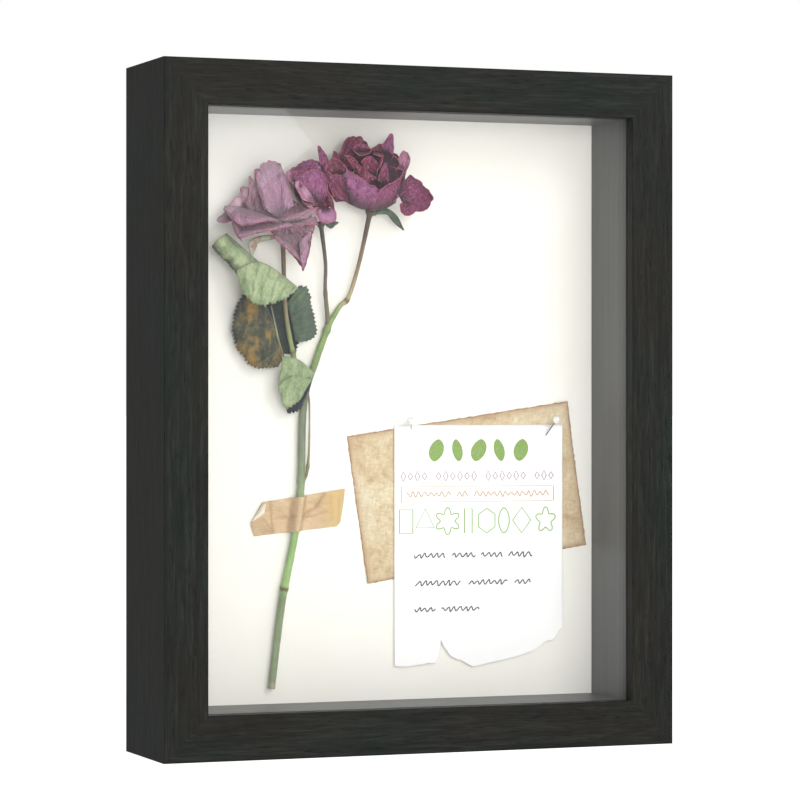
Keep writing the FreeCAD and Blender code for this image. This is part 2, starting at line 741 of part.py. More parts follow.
def make_blade(doc, label):
    """A thin leaf along +X, whose two curved edges meet at its base, at its own origin, and at its tip."""
    (x, off, z), direction, length, half = BLADES[label]
    body = new_body(doc, label)
    sketch = new_sketch(body, label + "_edges")
    radius = (length**2 / 4 + half**2) / (2 * half)
    base, tip = V(0, 0, 0), V(length, 0, 0)
    for side in (half, -half):
        sketch.addGeometry(Part.Arc(base, V(length / 2, side, 0), tip), False)
        edge = sketch.GeometryCount - 1
        sketch.addConstraint(Sketcher.Constraint("Radius", edge, radius))
    starts = [min((1, 2), key=lambda end: sketch.getPoint(edge, end).x) for edge in (0, 1)]
    sketch.addConstraint(Sketcher.Constraint("Coincident", 0, starts[0], -1, 1))
    sketch.addConstraint(Sketcher.Constraint("Coincident", 1, starts[1], -1, 1))
    sketch.addConstraint(Sketcher.Constraint("Coincident", 0, 3 - starts[0], 1, 3 - starts[1]))
    sketch.addConstraint(Sketcher.Constraint("PointOnObject", 0, 3 - starts[0], -1))
    sketch.addConstraint(Sketcher.Constraint("DistanceX", -1, 1, 0, 3 - starts[0], length))
    pad(body, sketch, "dims.blade_thick")
    return place(body, str(x), f"{BOARD_Y} - {off} - dims.blade_thick", str(z), -direction)


def make_display(doc):
    """Everything that comes out with the back."""
    parts = make_back(doc) + make_papers(doc) + make_pins(doc) + make_tape(doc)
    parts += make_stems(doc) + make_blooms(doc)
    return parts + [make_blade(doc, label) for label in BLADES]


# ---------------------------------------------------------------- checks and export


def check(doc, parts):
    """Stops before anything is written if an object failed or a sub-part has no sound shape."""
    for thing in doc.Objects:
        if "Invalid" in thing.State or "Error" in thing.State:
            raise RuntimeError(f"{thing.Label} is {thing.State}")
    for part in parts:
        if part.Shape.isNull() or not part.Shape.isValid() or not part.Shape.Solids:
            raise RuntimeError(f"{part.Label} has no valid solid")


def main():
    doc = FreeCAD.newDocument("shadow_box")
    make_sheet(doc)
    parts = make_frame(doc) + make_fittings(doc) + make_display(doc)
    doc.recompute()
    check(doc, parts)
    os.makedirs(OUT, exist_ok=True)
    for part in parts:
        part.Shape.exportStep(os.path.join(OUT, part.Label + ".step"))
    print(len(parts), "sub-parts")


main()
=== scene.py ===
"""The shadow box's looks: dried roses, papers, tape and materials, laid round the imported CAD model."""
import math
from collections import namedtuple

import bpy
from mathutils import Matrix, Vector, noise


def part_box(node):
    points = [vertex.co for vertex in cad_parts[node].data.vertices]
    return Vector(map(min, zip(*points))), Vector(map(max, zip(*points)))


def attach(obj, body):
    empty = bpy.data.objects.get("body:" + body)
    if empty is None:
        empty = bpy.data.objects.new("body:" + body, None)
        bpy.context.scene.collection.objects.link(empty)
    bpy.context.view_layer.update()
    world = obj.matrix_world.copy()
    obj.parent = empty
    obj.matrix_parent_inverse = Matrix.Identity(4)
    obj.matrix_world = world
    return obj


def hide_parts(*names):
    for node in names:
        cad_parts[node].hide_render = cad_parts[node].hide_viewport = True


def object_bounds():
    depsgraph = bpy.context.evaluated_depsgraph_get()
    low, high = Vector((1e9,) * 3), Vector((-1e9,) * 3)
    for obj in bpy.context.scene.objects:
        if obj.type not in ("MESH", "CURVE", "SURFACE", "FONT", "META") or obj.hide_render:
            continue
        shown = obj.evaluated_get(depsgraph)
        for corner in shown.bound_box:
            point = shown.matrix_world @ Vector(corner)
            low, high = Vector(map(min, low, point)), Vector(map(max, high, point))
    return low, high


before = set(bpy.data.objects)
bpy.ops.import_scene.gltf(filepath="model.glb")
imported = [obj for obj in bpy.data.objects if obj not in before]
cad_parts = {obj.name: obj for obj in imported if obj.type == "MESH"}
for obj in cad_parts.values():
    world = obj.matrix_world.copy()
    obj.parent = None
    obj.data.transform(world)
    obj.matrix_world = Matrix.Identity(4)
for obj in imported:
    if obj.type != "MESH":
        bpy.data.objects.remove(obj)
cad_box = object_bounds()

MM = 0.001
BACK = "display_back"  # the body that carries everything on the backing sheet
SHEET_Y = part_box("backing_sheet")[0].y  # front face of the backing sheet
VIEW_LEAN = 0.385  # sideways share of a step from the sheet towards someone who looks in from the left


# ---------------------------------------------------------------- points and paths
# Points on the display are Vector((x, off, z)) in millimetres.
# off is the distance in front of the backing sheet.


def to_row(point):
    """A display point in the row frame, in metres."""
    return Vector((point.x * MM, SHEET_Y - point.y * MM, point.z * MM))


def forward(point, distance):
    """The point moved towards the viewer."""
    return point + Vector((-VIEW_LEAN * distance, distance, 0))


def measured(path):
    """The length of the path up to each of its points."""
    total = [0.0]
    for start, end in zip(path, path[1:]):
        total.append(total[-1] + (end - start).length)
    return total


def smooth_path(points, count):
    """count evenly spaced points on a smooth curve through points."""
    points = [Vector(point) for point in points]
    ends = [2 * points[0] - points[1], *points, 2 * points[-1] - points[-2]]
    steps = 8
    fine = []
    for before, start, end, after in zip(ends, ends[1:], ends[2:], ends[3:]):
        for step in range(steps):
            t = step / steps
            bend = (end - before) * t + (2 * before - 5 * start + 4 * end - after) * t**2
            fine.append(start + (bend + (3 * start - before - 3 * end + after) * t**3) / 2)
    fine.append(points[-1])
    along = measured(fine)
    path = []
    index = 0
    for number in range(count):
        goal = along[-1] * number / (count - 1)
        while index < len(along) - 2 and along[index + 1] < goal:
            index += 1
        gap = along[index + 1] - along[index]
        share = (goal - along[index]) / gap if gap else 0
        path.append(fine[index].lerp(fine[index + 1], min(share, 1)))
    return path


def clamp(value, low=0.0, high=1.0):
    return max(low, min(high, value))


def ease(value):
    """0 to 1, slow at both ends."""
    value = clamp(value)
    return value * value * (3 - 2 * value)


def wander(x, y, seed):
    """Smooth noise between about -1 and 1."""
    return noise.noise(Vector((x, y, seed * 7.31)))


def follow(knots, value):
    """The second number at value, on straight lines between (value, number) knots."""
    for (start, low), (end, high) in zip(knots, knots[1:]):
        if value <= end:
            return low + (high - low) * (value - start) / (end - start)
    return knots[-1][1]


# ---------------------------------------------------------------- pieces


class Skin:
    """Thin surfaces and tubes gathered into one mesh. Each point carries three numbers of paint."""

    def __init__(self):
        self.points = []
        self.paint = []
        self.faces = []

    def add_rows(self, rows, paint, closed=False):
        """A strip of quads between each two rows of points."""
        start = len(self.points)
        width = len(rows[0])
        for row, colours in zip(rows, paint):
            self.points += row
            self.paint += colours
        for row in range(len(rows) - 1):
            for column in range(width if closed else width - 1):
                a = start + row * width + column
                b = start + row * width + (column + 1) % width
                self.faces.append((a, b, b + width, a + width))

    def add_rings(self, rings, paint):
        """A closed tube through the rings, with a flat end at each end."""
        start = len(self.points)
        self.add_rows(rings, paint, closed=True)
        sides = len(rings[0])
        last = len(self.points) - sides
        ends = ((start, rings[0], paint[0], -1), (last, rings[-1], paint[-1], 1))
        for first, ring, colours, turn in ends:
            middle = len(self.points)
            self.points.append(sum(ring, Vector()) / sides)
            self.paint.append(colours[0])
            for side in range(sides):
                corner = first + side
                after = first + (side + 1) % sides
                self.faces.append((corner, after, middle)[::turn])

    def add_tube(self, path, radii, paint, sides=12):
        """A tube along a path, with a radius and paint at each of its points."""
        rings = []
        for index, point in enumerate(path):
            along = (path[min(index + 1, len(path) - 1)] - path[max(index - 1, 0)]).normalized()
            across = along.cross(Vector((0, 1, 0))).normalized()
            up = across.cross(along)
            angles = [math.tau * side / sides for side in range(sides)]
            ring = [point + radii[index] * (math.cos(a) * across + math.sin(a) * up) for a in angles]
            rings.append(ring)
        self.add_rings(rings, [[colour] * sides for colour in paint])

    def add_fan(self, outline, colour):
        """A flat filled shape."""
        start = len(self.points)
        self.points += outline
        self.points.append(sum(outline, Vector()) / len(outline))
        self.paint += [colour] * (len(outline) + 1)
        for index in range(len(outline)):
            after = (index + 1) % len(outline)
            self.faces.append((start + index, start + after, start + len(outline)))

    def piece(self, name, material, thickness=0.0, offset=0.0, smooth=True):
        """The finished object. thickness is in millimetres, and offset says which way it grows."""
        mesh = bpy.data.meshes.new(name)
        mesh.from_pydata([to_row(point) for point in self.points], [], self.faces)
        mesh.polygons.foreach_set("use_smooth", [smooth] * len(mesh.polygons))
        attribute = mesh.color_attributes.new("paint", "FLOAT_COLOR", "POINT")
        for index, colour in enumerate(self.paint):
            attribute.data[index].color = (*colour, 1)
        mesh.materials.append(material)
        made = bpy.data.objects.new(name, mesh)
        bpy.context.collection.objects.link(made)
        if thickness:
            shell = made.modifiers.new("thickness", "SOLIDIFY")
            shell.thickness = thickness * MM
            shell.offset = offset
        return made


def spread(columns, rows, spot):
    """A grid of points. spot gives a point and its paint, at a share of the way across and up."""
    points = []
    paint = []
    for row in range(rows + 1):
        line = [spot(column / columns, row / rows) for column in range(columns + 1)]
        points.append([point for point, _ in line])
        paint.append([colour for _, colour in line])
    skin = Skin()
    skin.add_rows(points, paint)
    return skin


def mount(piece, finish, *nodes, body=BACK):
    """The piece rides on its body and stands for the CAD nodes, which it hides. finish is not used."""
    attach(piece, body)
    if nodes:
        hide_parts(*nodes)
    return piece


def dress(material, *nodes):
    """Gives CAD nodes a material."""
    for node in nodes:
        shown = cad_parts[node]
        shown.data.materials.clear()
        shown.data.materials.append(material)


# ---------------------------------------------------------------- materials


def srgb(red, green, blue):
    """A colour given as 0 to 255, in linear light, by the standard sRGB curve."""
    linear = []
    for value in (red, green, blue):
        share = value / 255
        linear.append(share / 12.92 if share <= 0.04045 else ((share + 0.055) / 1.055) ** 2.4)
    return (*linear, 1)


class Finish:
    """A Principled material, with short calls for the nodes behind it."""

    def __init__(self, name, roughness, **sockets):
        self.material = bpy.data.materials.new(name)
        self.material.use_nodes = True
        self.tree = self.material.node_tree
        self.surface = self.tree.nodes["Principled BSDF"]
        self.surface.inputs["Roughness"].default_value = roughness
        for socket, value in sockets.items():
            self.surface.inputs[socket.replace("_", " ")].default_value = value

    def node(self, kind, inputs=(), **settings):
        """A node with its settings. Each input, by name or number, is a value or another node's output."""
        made = self.tree.nodes.new("ShaderNode" + kind)
        for setting, value in settings.items():
            setattr(made, setting, value)
        for socket, value in dict(inputs).items():
            if isinstance(value, bpy.types.NodeSocket):
                self.tree.links.new(value, made.inputs[socket])
            else:
                made.inputs[socket].default_value = value
        return made

    def place(self, stretch=(1, 1, 1), turn=0.0):
        """Positions in the row frame, turned about Y by some degrees and then stretched."""
        coordinates = self.node("TexCoord")
        turned = self.node(
            "VectorRotate",
            {"Vector": coordinates.outputs["Object"], "Angle": math.radians(turn)},
            rotation_type="Y_AXIS",
        )
        return self.node("Mapping", {"Vector": turned.outputs[0], "Scale": stretch}).outputs[0]

    def noise(self, place, size, detail=3.0, rough=0.5, twist=0.0):
        """Noise with features about size millimetres across."""
        inputs = {
            "Vector": place,
            "Scale": 1 / (size * MM),
            "Detail": detail,
            "Roughness": rough,
            "Distortion": twist,
        }
        return self.node("TexNoise", inputs).outputs["Fac"]

    def paint(self):
        """The three numbers of paint on the mesh."""
        stored = self.node("Attribute", attribute_name="paint")
        return self.node("SeparateColor", {0: stored.outputs["Color"]}).outputs

    def band(self, value, low, high, to_low=0.0, to_high=1.0):
        """value between low and high, drawn out smoothly to to_low and to_high."""
        inputs = {"Value": value, 1: low, 2: high, 3: to_low, 4: to_high}
        return self.node("MapRange", inputs, interpolation_type="SMOOTHSTEP").outputs[0]

    def sum(self, *terms):
        """The sum of (output, weight) pairs."""
        total = None
        for value, weight in terms:
            inputs = {0: value, 1: weight, 2: 0.0 if total is None else total}
            total = self.node("Math", inputs, operation="MULTIPLY_ADD").outputs[0]
        return total

    def product(self, first, second):
        return self.node("Math", {0: first, 1: second}, operation="MULTIPLY").outputs[0]

    def ramp(self, value, *stops):
        """Colours along value: each stop is a place from 0 to 1 and a colour."""
        made = self.node("ValToRGB", {0: value})
        elements = made.color_ramp.elements
        while len(elements) < len(stops):
            elements.new(0.5)
        for element, (spot, colour) in zip(elements, stops):
            element.position = spot
            element.color = srgb(*colour)
        return made.outputs["Color"]

    def mix(self, amount, first, second, blend="MIX"):
        """Two colours, each an output or a 0 to 255 colour."""
        colours = [c if isinstance(c, bpy.types.NodeSocket) else srgb(*c) for c in (first, second)]
        inputs = {0: amount, 6: colours[0], 7: colours[1]}
        return self.node("Mix", inputs, data_type="RGBA", blend_type=blend).outputs[2]

    def colour(self, value):
        self.tree.links.new(value, self.surface.inputs["Base Color"])

    def roughness(self, value):
        self.tree.links.new(value, self.surface.inputs["Roughness"])

    def bump(self, height, depth, strength=1.0):
        """A bump depth millimetres deep."""
        inputs = {"Height": height, "Distance": depth * MM, "Strength": strength}
        self.tree.links.new(self.node("Bump", inputs).outputs[0], self.surface.inputs["Normal"])


def along(axis, share):
    """A stretch that draws a pattern out along one axis."""
    return tuple(share if axis == letter else 1.0 for letter in "XYZ")


def stained_wood(axis):
    """Black-stained open-grained wood, with its grain along an axis."""
    wood = Finish(f"stained_wood_{axis.lower()}", 0.55, Specular_IOR_Level=0.12)
    grain = wood.place(along(axis, 0.05))
    streaks = wood.noise(grain, 1.6, detail=6, rough=0.65, twist=0.3)
    threads = wood.noise(grain, 0.45, detail=3, rough=0.6)
    pores = wood.noise(wood.place(along(axis, 0.11)), 0.7, detail=2)
    drift = wood.noise(wood.place(along(axis, 0.35)), 22, detail=3)
    depth = wood.sum((streaks, 0.6), (threads, 0.4))
    base = wood.ramp(depth, (0.3, (20, 20, 20)), (0.52, (33, 34, 32)), (0.72, (50, 50, 47)))
    tint = wood.ramp(drift, (0.35, (222, 250, 240)), (0.5, (248, 250, 244)), (0.65, (255, 240, 230)))
    stain = wood.mix(0.85, base, tint, "MULTIPLY")
    wood.colour(wood.mix(wood.band(pores, 0.60, 0.72, 0.0, 0.75), stain, (17, 17, 16)))
    wood.roughness(wood.band(streaks, 0.3, 0.7, 0.5, 0.66))
    wood.bump(wood.sum((streaks, 0.5), (threads, 0.4), (pores, -0.7)), 0.12, 0.7)
    return wood.material


def lining_wood(axis):
    """The smoother, satin lining strips."""
    wood = Finish(f"lining_wood_{axis.lower()}", 0.42, Specular_IOR_Level=0.5)
    threads = wood.noise(wood.place(along(axis, 0.03)), 0.9, detail=4, rough=0.6)
    streaks = wood.noise(wood.place(along(axis, 0.03)), 3.5, detail=2)
    depth = wood.sum((threads, 0.6), (streaks, 0.4))
    wood.colour(wood.ramp(depth, (0.3, (58, 59, 60)), (0.5, (72, 73, 73)), (0.7, (84, 84, 83))))
    wood.roughness(wood.band(threads, 0.3, 0.7, 0.36, 0.5))
    wood.bump(threads, 0.05, 0.5)
    return wood.material


def clear_glass():
    """A thin pane: nearly all the light goes straight through, and more is mirrored at a glancing angle."""
    glass = Finish("clear_glass", 0.0)
    glass.tree.nodes.remove(glass.surface)
    facing = glass.node("LayerWeight", {"Blend": 0.5}).outputs["Facing"]
    steep = glass.node("Math", {0: facing, 1: 5.0}, operation="POWER").outputs[0]
    share = glass.node("Math", {0: steep, 1: 0.96, 2: 0.04}, operation="MULTIPLY_ADD").outputs[0]
    through = glass.node("BsdfTransparent", {"Color": (0.99, 0.992, 0.99, 1)})
    mirror = glass.node("BsdfGlossy", {"Color": (1, 1, 1, 1), "Roughness": 0.0})
    mixed = glass.node("MixShader", {0: share, 1: through.outputs[0], 2: mirror.outputs[0]})
    glass.tree.links.new(mixed.outputs[0], glass.tree.nodes["Material Output"].inputs["Surface"])
    return glass.material


def metal(name, colour, roughness, spangle, scratch):
    """Zinc or steel: crystals of slightly different tone under fine scratches."""
    steel = Finish(name, roughness, Metallic=1.0)
    crystals = steel.node("TexVoronoi", {"Vector": steel.place(), "Scale": 1 / (spangle * MM)})
    tone = steel.node("SeparateColor", {0: crystals.outputs["Color"]}).outputs[0]
    lines = steel.noise(steel.place((1, 1, 0.06), turn=24), scratch, detail=3)
    dark = tuple(round(0.82 * value) for value in colour)
    steel.colour(steel.mix(steel.band(steel.sum((tone, 0.5), (lines, 0.5)), 0.2, 0.8), dark, colour))
    steel.roughness(steel.band(lines, 0.3, 0.7, roughness * 0.8, roughness * 1.35))
    steel.bump(lines, 0.02, 0.35)
    return steel.material


def hardboard():
    """Brown pressed fibre."""
    board = Finish("hardboard", 0.72, Specular_IOR_Level=0.3)
    fibres = board.noise(board.place((1, 1, 0.35), turn=33), 0.9, detail=5, rough=0.7, twist=1.2)
    clumps = board.noise(board.place(), 9, detail=4, rough=0.6)
    flecks = board.noise(board.place((0.4, 1, 1)), 0.6, detail=1)
    pulp = board.sum((fibres, 0.6), (clumps, 0.4))
    brown = board.ramp(pulp, (0.3, (92, 62, 40)), (0.5, (124, 87, 58)), (0.7, (152, 112, 78)))
    board.colour(board.mix(board.band(flecks, 0.66, 0.76, 0.0, 0.6), brown, (186, 150, 112)))
    board.bump(fibres, 0.12, 0.8)
    return board.material


def foam():
    """White pin board foam, with fine cells."""
    board = Finish("foam", 0.85)
    cells = board.node("TexVoronoi", {"Vector": board.place(), "Scale": 1 / (0.9 * MM)}).outputs["Distance"]
    board.colour(board.ramp(cells, (0.1, (226, 226, 222)), (0.6, (240, 240, 237))))
    board.bump(cells, 0.12, 0.6)
    return board.material


def clear_bumper():
    """Soft clear plastic."""
    plastic = Finish("clear_bumper", 0.18, IOR=1.49, Transmission_Weight=0.85)
    haze = plastic.noise(plastic.place(), 1.5, detail=3)
    plastic.colour(plastic.ramp(haze, (0.35, (226, 230, 230)), (0.65, (244, 246, 246))))
    plastic.bump(haze, 0.03, 0.4)
    return plastic.material


def cream_card():
    """The smooth cream backing sheet, with a faint tooth."""
    card = Finish("cream_card", 0.8, Specular_IOR_Level=0.25)
    tooth = card.noise(card.place(), 0.5, detail=3)
    drift = card.noise(card.place(), 60, detail=2)
    card.colour(card.ramp(drift, (0.35, (240, 237, 229)), (0.65, (242, 239, 232))))
    card.bump(tooth, 0.02, 0.4)
    return card.material


def white_card():
    """Bright white card. Its first number of paint is 1 along the torn edge, where the fibres show."""
    card = Finish("white_card", 0.7, Specular_IOR_Level=0.3)
    fibres = card.noise(card.place((1, 1, 0.5), turn=20), 0.35, detail=4, rough=0.7)
    torn = card.paint()[0]
    card.colour(card.mix(card.product(torn, fibres), (247, 247, 246), (232, 229, 226)))
    card.bump(fibres, 0.03, 0.5)
    return card.material


def aged_paper(tilt):
    """Parchment: tan clouds, fibres, foxing and a browner rim. The first number of paint is 1 there."""
    paper = Finish("aged_paper", 0.78, Specular_IOR_Level=0.25)
    clouds = paper.noise(paper.place(turn=tilt), 17, detail=6, rough=0.62, twist=0.6)
    blots = paper.noise(paper.place(turn=tilt), 5.5, detail=5, rough=0.65, twist=0.8)
    fibres = paper.noise(paper.place((1, 1, 0.22), turn=tilt), 0.8, detail=4, rough=0.7)
    weft = paper.noise(paper.place((0.22, 1, 1), turn=tilt), 0.8, detail=4, rough=0.7)
    specks = paper.noise(paper.place(), 1.3, detail=2)
    base = paper.ramp(
        paper.sum((clouds, 0.55), (blots, 0.45)),
        (0.34, (192, 164, 132)), (0.45, (212, 192, 158)), (0.55, (224, 210, 180)), (0.68, (234, 224, 200)),
    )
    threads = paper.sum((fibres, 0.5), (weft, 0.5))
    weave = paper.ramp(threads, (0.35, (196, 186, 170)), (0.62, (255, 255, 252)))
    woven = paper.mix(0.55, base, weave, "MULTIPLY")
    foxed = paper.mix(paper.band(specks, 0.66, 0.76, 0.0, 0.45), woven, (150, 112, 78))
    rim = paper.paint()[0]
    worn = paper.product(rim, paper.band(blots, 0.3, 0.62, 0.35, 1.0))
    paper.colour(paper.mix(worn, foxed, (158, 118, 86)))
    paper.bump(paper.sum((threads, 0.7), (blots, 0.5)), 0.07, 0.8)
    return paper.material


def kraft_tape(tilt):
    """Tan paper tape. Paint: how creased it is, how yellow, then 1 on its pale underside."""
    tape = Finish("kraft_tape", 0.6, Specular_IOR_Level=0.35)
    fibres = tape.noise(tape.place((0.2, 1, 1), turn=tilt), 0.7, detail=4, rough=0.65)
    clouds = tape.noise(tape.place((0.5, 1, 1), turn=tilt), 6, detail=4, rough=0.6, twist=0.5)
    pulp = tape.sum((clouds, 0.6), (fibres, 0.4))
    base = tape.ramp(pulp, (0.34, (180, 150, 114)), (0.52, (202, 175, 140)), (0.68, (216, 192, 160)))
    creased, yellow, underside = tape.paint()
    warm = tape.mix(yellow, base, (208, 178, 122))
    # Darker along the creases: painted shade.
    crease_shaded = tape.mix(creased, warm, (172, 136, 108))
    tape.colour(tape.mix(underside, crease_shaded, (228, 218, 196)))
    tape.bump(tape.sum((fibres, 0.5), (clouds, 0.4)), 0.05, 0.6)
    return tape.material


def pearl():
    """A glossy white plastic pin head with a faint pearly bloom."""
    glow = (0.6 * MM, 0.6 * MM, 0.6 * MM)
    bead = Finish("pearl", 0.16, Coat_Weight=0.8, Coat_Roughness=0.06, Sheen_Weight=0.25,
                  Subsurface_Weight=0.15, Subsurface_Radius=glow)
    swirl = bead.noise(bead.place(), 1.6, detail=2, twist=1.5)
    bead.colour(bead.ramp(swirl, (0.3, (226, 222, 224)), (0.7, (248, 246, 244))))
    bead.bump(swirl, 0.01, 0.3)
    return bead.material


def petal_skin(name, dusty):
    """Dried petals. Paint: root 0 to rim 1, wine 0 to mauve 1, then how pale the rim is."""
    petal = Finish(name, 0.68, Specular_IOR_Level=0.28, Sheen_Weight=0.15 + 0.35 * dusty,
                   Sheen_Roughness=0.5, Sheen_Tint=srgb(232, 210, 220))
    reach, tone, pale = petal.paint()
    wrinkles = petal.noise(petal.place((1, 1, 0.6)), 1.3, detail=5, rough=0.72, twist=2.2)
    veins = petal.noise(petal.place((1, 1, 0.4), turn=16), 2.4, detail=5, rough=0.68, twist=1.6)
    clouds = petal.noise(petal.place(), 5, detail=4, rough=0.65)
    flesh = petal.ramp(
        petal.sum((tone, 0.8), (clouds, 0.5)),
        (0.15, (82, 26, 42)), (0.45, (112, 38, 62)), (0.75, (124, 60, 98)), (1.0, (146, 90, 132)),
    )
    lit = petal.mix(petal.band(wrinkles, 0.48, 0.66, 0.0, 0.55 + 0.4 * dusty), flesh, (204, 152, 178))
    shaded = petal.mix(petal.band(veins, 0.5, 0.34, 0.0, 0.75), lit, (56, 24, 40))
    wash = petal.product(petal.band(pale, 0.65, 1.0, 0.0, 0.7), petal.band(clouds, 0.35, 0.6, 0.4, 1.0))
    washed = petal.mix(wash, shaded, (200, 160, 178))
    rim = petal.product(petal.band(reach, 0.84, 0.97), petal.band(pale, 0.0, 0.6, 0.15, 0.9))
    broken_rim = petal.product(rim, petal.band(veins, 0.4, 0.56, 0.15, 1.0))
    edged = petal.mix(broken_rim, washed, (186, 102, 124))
    # Darker towards each root, deep inside the bloom: painted shade.
    painted_root_shade = petal.mix(petal.band(reach, 0.45, 0.0, 0.0, 0.85 - 0.2 * dusty), edged, (44, 34, 40))
    dust = petal.band(reach, 0.8, 0.95, 0.34 * dusty, 0.04 * dusty)
    petal.colour(petal.mix(dust, painted_root_shade, (184, 166, 174)))
    petal.roughness(petal.band(wrinkles, 0.35, 0.7, 0.75, 0.58))
    petal.bump(petal.sum((wrinkles, 0.6), (veins, 0.5)), 0.42, 1.0)
    return petal.material


def leaf_skin(name, dark, middle, light, patch, patch_share):
    """Dried leaves. Paint: root 0 to rim 1, then how much painted shade darkens it, then vein 1 or none 0.
    """
    leaf = Finish(name, 0.66, Specular_IOR_Level=0.3, Sheen_Weight=0.25, Sheen_Roughness=0.5)
    reach, shade, vein = leaf.paint()
    cells = leaf.noise(leaf.place(), 1.1, detail=5, rough=0.65, twist=0.8)
    clouds = leaf.noise(leaf.place((1, 1, 0.45), turn=-12), 6, detail=5, rough=0.62, twist=0.4)
    base = leaf.ramp(leaf.sum((cells, 0.55), (clouds, 0.45)), (0.32, dark), (0.5, middle), (0.68, light))
    mottled = leaf.mix(leaf.band(clouds, 0.46, 0.66, 0.0, patch_share), base, patch)
    ribbed = leaf.mix(vein, mottled, tuple(round(0.62 * value) for value in dark))
    edged = leaf.mix(leaf.band(reach, 0.75, 1.0, 0.0, 0.6), ribbed, dark)
    # Blades that lie in shade are mixed towards dark grey: painted shade.
    leaf.colour(leaf.mix(shade, edged, (40, 46, 52)))
    leaf.bump(leaf.sum((cells, 0.6), (vein, -0.8)), 0.25, 0.8)
    return leaf.material


def stem_skin(name, *stops):
    """Stems. Paint: place along the stem from 0 to 1, then how much bark."""
    stem = Finish(name, 0.5, Specular_IOR_Level=0.4)
    reach, bark, _ = stem.paint()
    fibres = stem.noise(stem.place((1, 1, 0.06)), 0.5, detail=3)
    clouds = stem.noise(stem.place((1, 1, 0.4)), 3.5, detail=3)
    base = stem.ramp(reach, *stops)
    streaks = stem.sum((fibres, 0.5), (clouds, 0.5))
    shade = stem.ramp(streaks, (0.3, (176, 182, 170)), (0.65, (255, 255, 255)))
    toned = stem.mix(0.7, base, shade, "MULTIPLY")
    stem.colour(stem.mix(bark, toned, (92, 74, 60)))
    stem.bump(fibres, 0.08, 0.7)
    return stem.material


def ink(name, colour):
    """Matt printing ink."""
    dye = Finish(name, 0.6)
    mottle = dye.noise(dye.place(), 0.8, detail=3)
    lighter = tuple(round(value + 0.25 * (255 - value)) for value in colour)
    dye.colour(dye.mix(dye.band(mottle, 0.4, 0.7, 0.0, 0.6), colour, lighter))
    return dye.material


# ---------------------------------------------------------------- petals and leaves

# A petal, or one blade of a leaf, is drawn from its root to its rim. Each point is (x, z) in millimetres
# from the middle of its bloom or leaf, and how far it stands ahead of that middle. A root of one point fans
# out to the rim. belly is how far the middle swells forward, tone goes from wine red to mauve (on a leaf,
# how strong the veins are), pale is how light the rim is, ruffle is how wavy it is, roll is how far it
# curls back, in degrees, and teeth is how long a leaf's teeth are.
Petal = namedtuple(
    "Petal", "root rim belly tone pale ruffle roll teeth", defaults=(1.0, 0.5, 0.3, 0.2, 130, 0.0)
)
FAN_FOOT = 0.42  # how far towards the rim's ends a root of one point reaches
PLEATS = 0.85  # heights of the folds that run from root to rim,
CRUMPLES = 1.3  # of the crumples that grow towards the rim,
CRINKLES = 0.36  # and of the fine crinkles
UNEVEN_RIM = 0.06  # how much of a petal's length its rim wanders by
ROLL_RADIUS = 0.55
ROLL_STEPS = 5
UNROLLED = 0.86  # the share of the paint from root to rim that comes before the roll
COLUMN_GAP = 0.6  # between neighbouring points across a petal
ROW_GAP = 0.7  # and from its root to its rim
TOOTH_COLUMNS = 3  # points across one tooth of a leaf


def petal_edges(petal, middle):
    """The petal's root and rim as display points."""
    edges = (petal.root, petal.rim)
    root, rim = ([forward(middle + Vector((x, 0, z)), ahead) for x, z, ahead in edge] for edge in edges)
    if len(root) == 1:
        root = [root[0].lerp(rim[0], FAN_FOOT), root[0], root[0].lerp(rim[-1], FAN_FOOT)]
    return root, rim


def relief(petal, point, across, v, seed):
    """How far a petal stands forward at a point, v of the way from its root to its rim."""
    swell = petal.belly * math.sin(math.pi * v) ** 0.8
    pleats = PLEATS * wander(across * 0.55, v * 1.4, seed) * math.sin(math.pi * (0.1 + 0.8 * v))
    crumples = CRUMPLES * noise.noise(point * 0.28 + Vector((0, 0, seed))) * v
    crinkles = CRINKLES * noise.noise(point * 1.05)
    ruffles = petal.ruffle * wander(across / 2.1, 0, seed + 3) * v * v
    return swell + pleats + crumples + crinkles + ruffles


def flat_row(petal, root, spans, v, seed):
    """The row of a petal that is v of the way from its root to the start of its roll."""
    line = []
    for column, (start, span) in enumerate(zip(root, spans)):
        across = column * COLUMN_GAP
        end = clamp(1 - ROLL_RADIUS / max(span.length, 1.5)) + UNEVEN_RIM * wander(across / 2.2, 5, seed)
        point = start + span * (v * end)
        line.append(forward(point, relief(petal, point, across, v, seed)))
    return line


def rolled_row(petal, rows, share, seed):
    """The row that is share of the way round the roll at the end of these rows."""
    line = []
    for column, (lip, before) in enumerate(zip(rows[-1], rows[-3])):
        across = column * COLUMN_GAP
        turn = petal.roll * (1 + 0.45 * wander(across / 3.5, 1, seed))
        angle = math.radians(turn) * share
        nick = 0.8 * petal.ruffle * wander(across / 0.9, 2, seed) * share
        nick += petal.teeth * (column % TOOTH_COLUMNS) / TOOTH_COLUMNS * share
        out = (lip - before).normalized()
        rolled = lip + out * (ROLL_RADIUS * math.sin(angle) + nick)
        line.append(forward(rolled, ROLL_RADIUS * (1 - math.cos(angle))))
    return line


def petal_rows(petal, middle, seed):
    """The petal's points in rows from root to rim, and how far each row has come, from 0 to 1."""
    root, rim = petal_edges(petal, middle)
    columns = max(9, round(measured(rim)[-1] / COLUMN_GAP))
    root = smooth_path(root, columns)
    rim = smooth_path(rim, columns)
    spans = [end - start for start, end in zip(root, rim)]
    depth = sum(span.length for span in spans) / columns
    count = max(7, round(depth / ROW_GAP))
    flat = [flat_row(petal, root, spans, row / count, seed) for row in range(count + 1)]
    turns = [step / ROLL_STEPS for step in range(1, ROLL_STEPS + 1)]
    rolled = [rolled_row(petal, flat, share, seed) for share in turns]
    reaches = [UNROLLED * row / count for row in range(count + 1)]
    reaches += [UNROLLED + (1 - UNROLLED) * share for share in turns]
    return flat + rolled, reaches


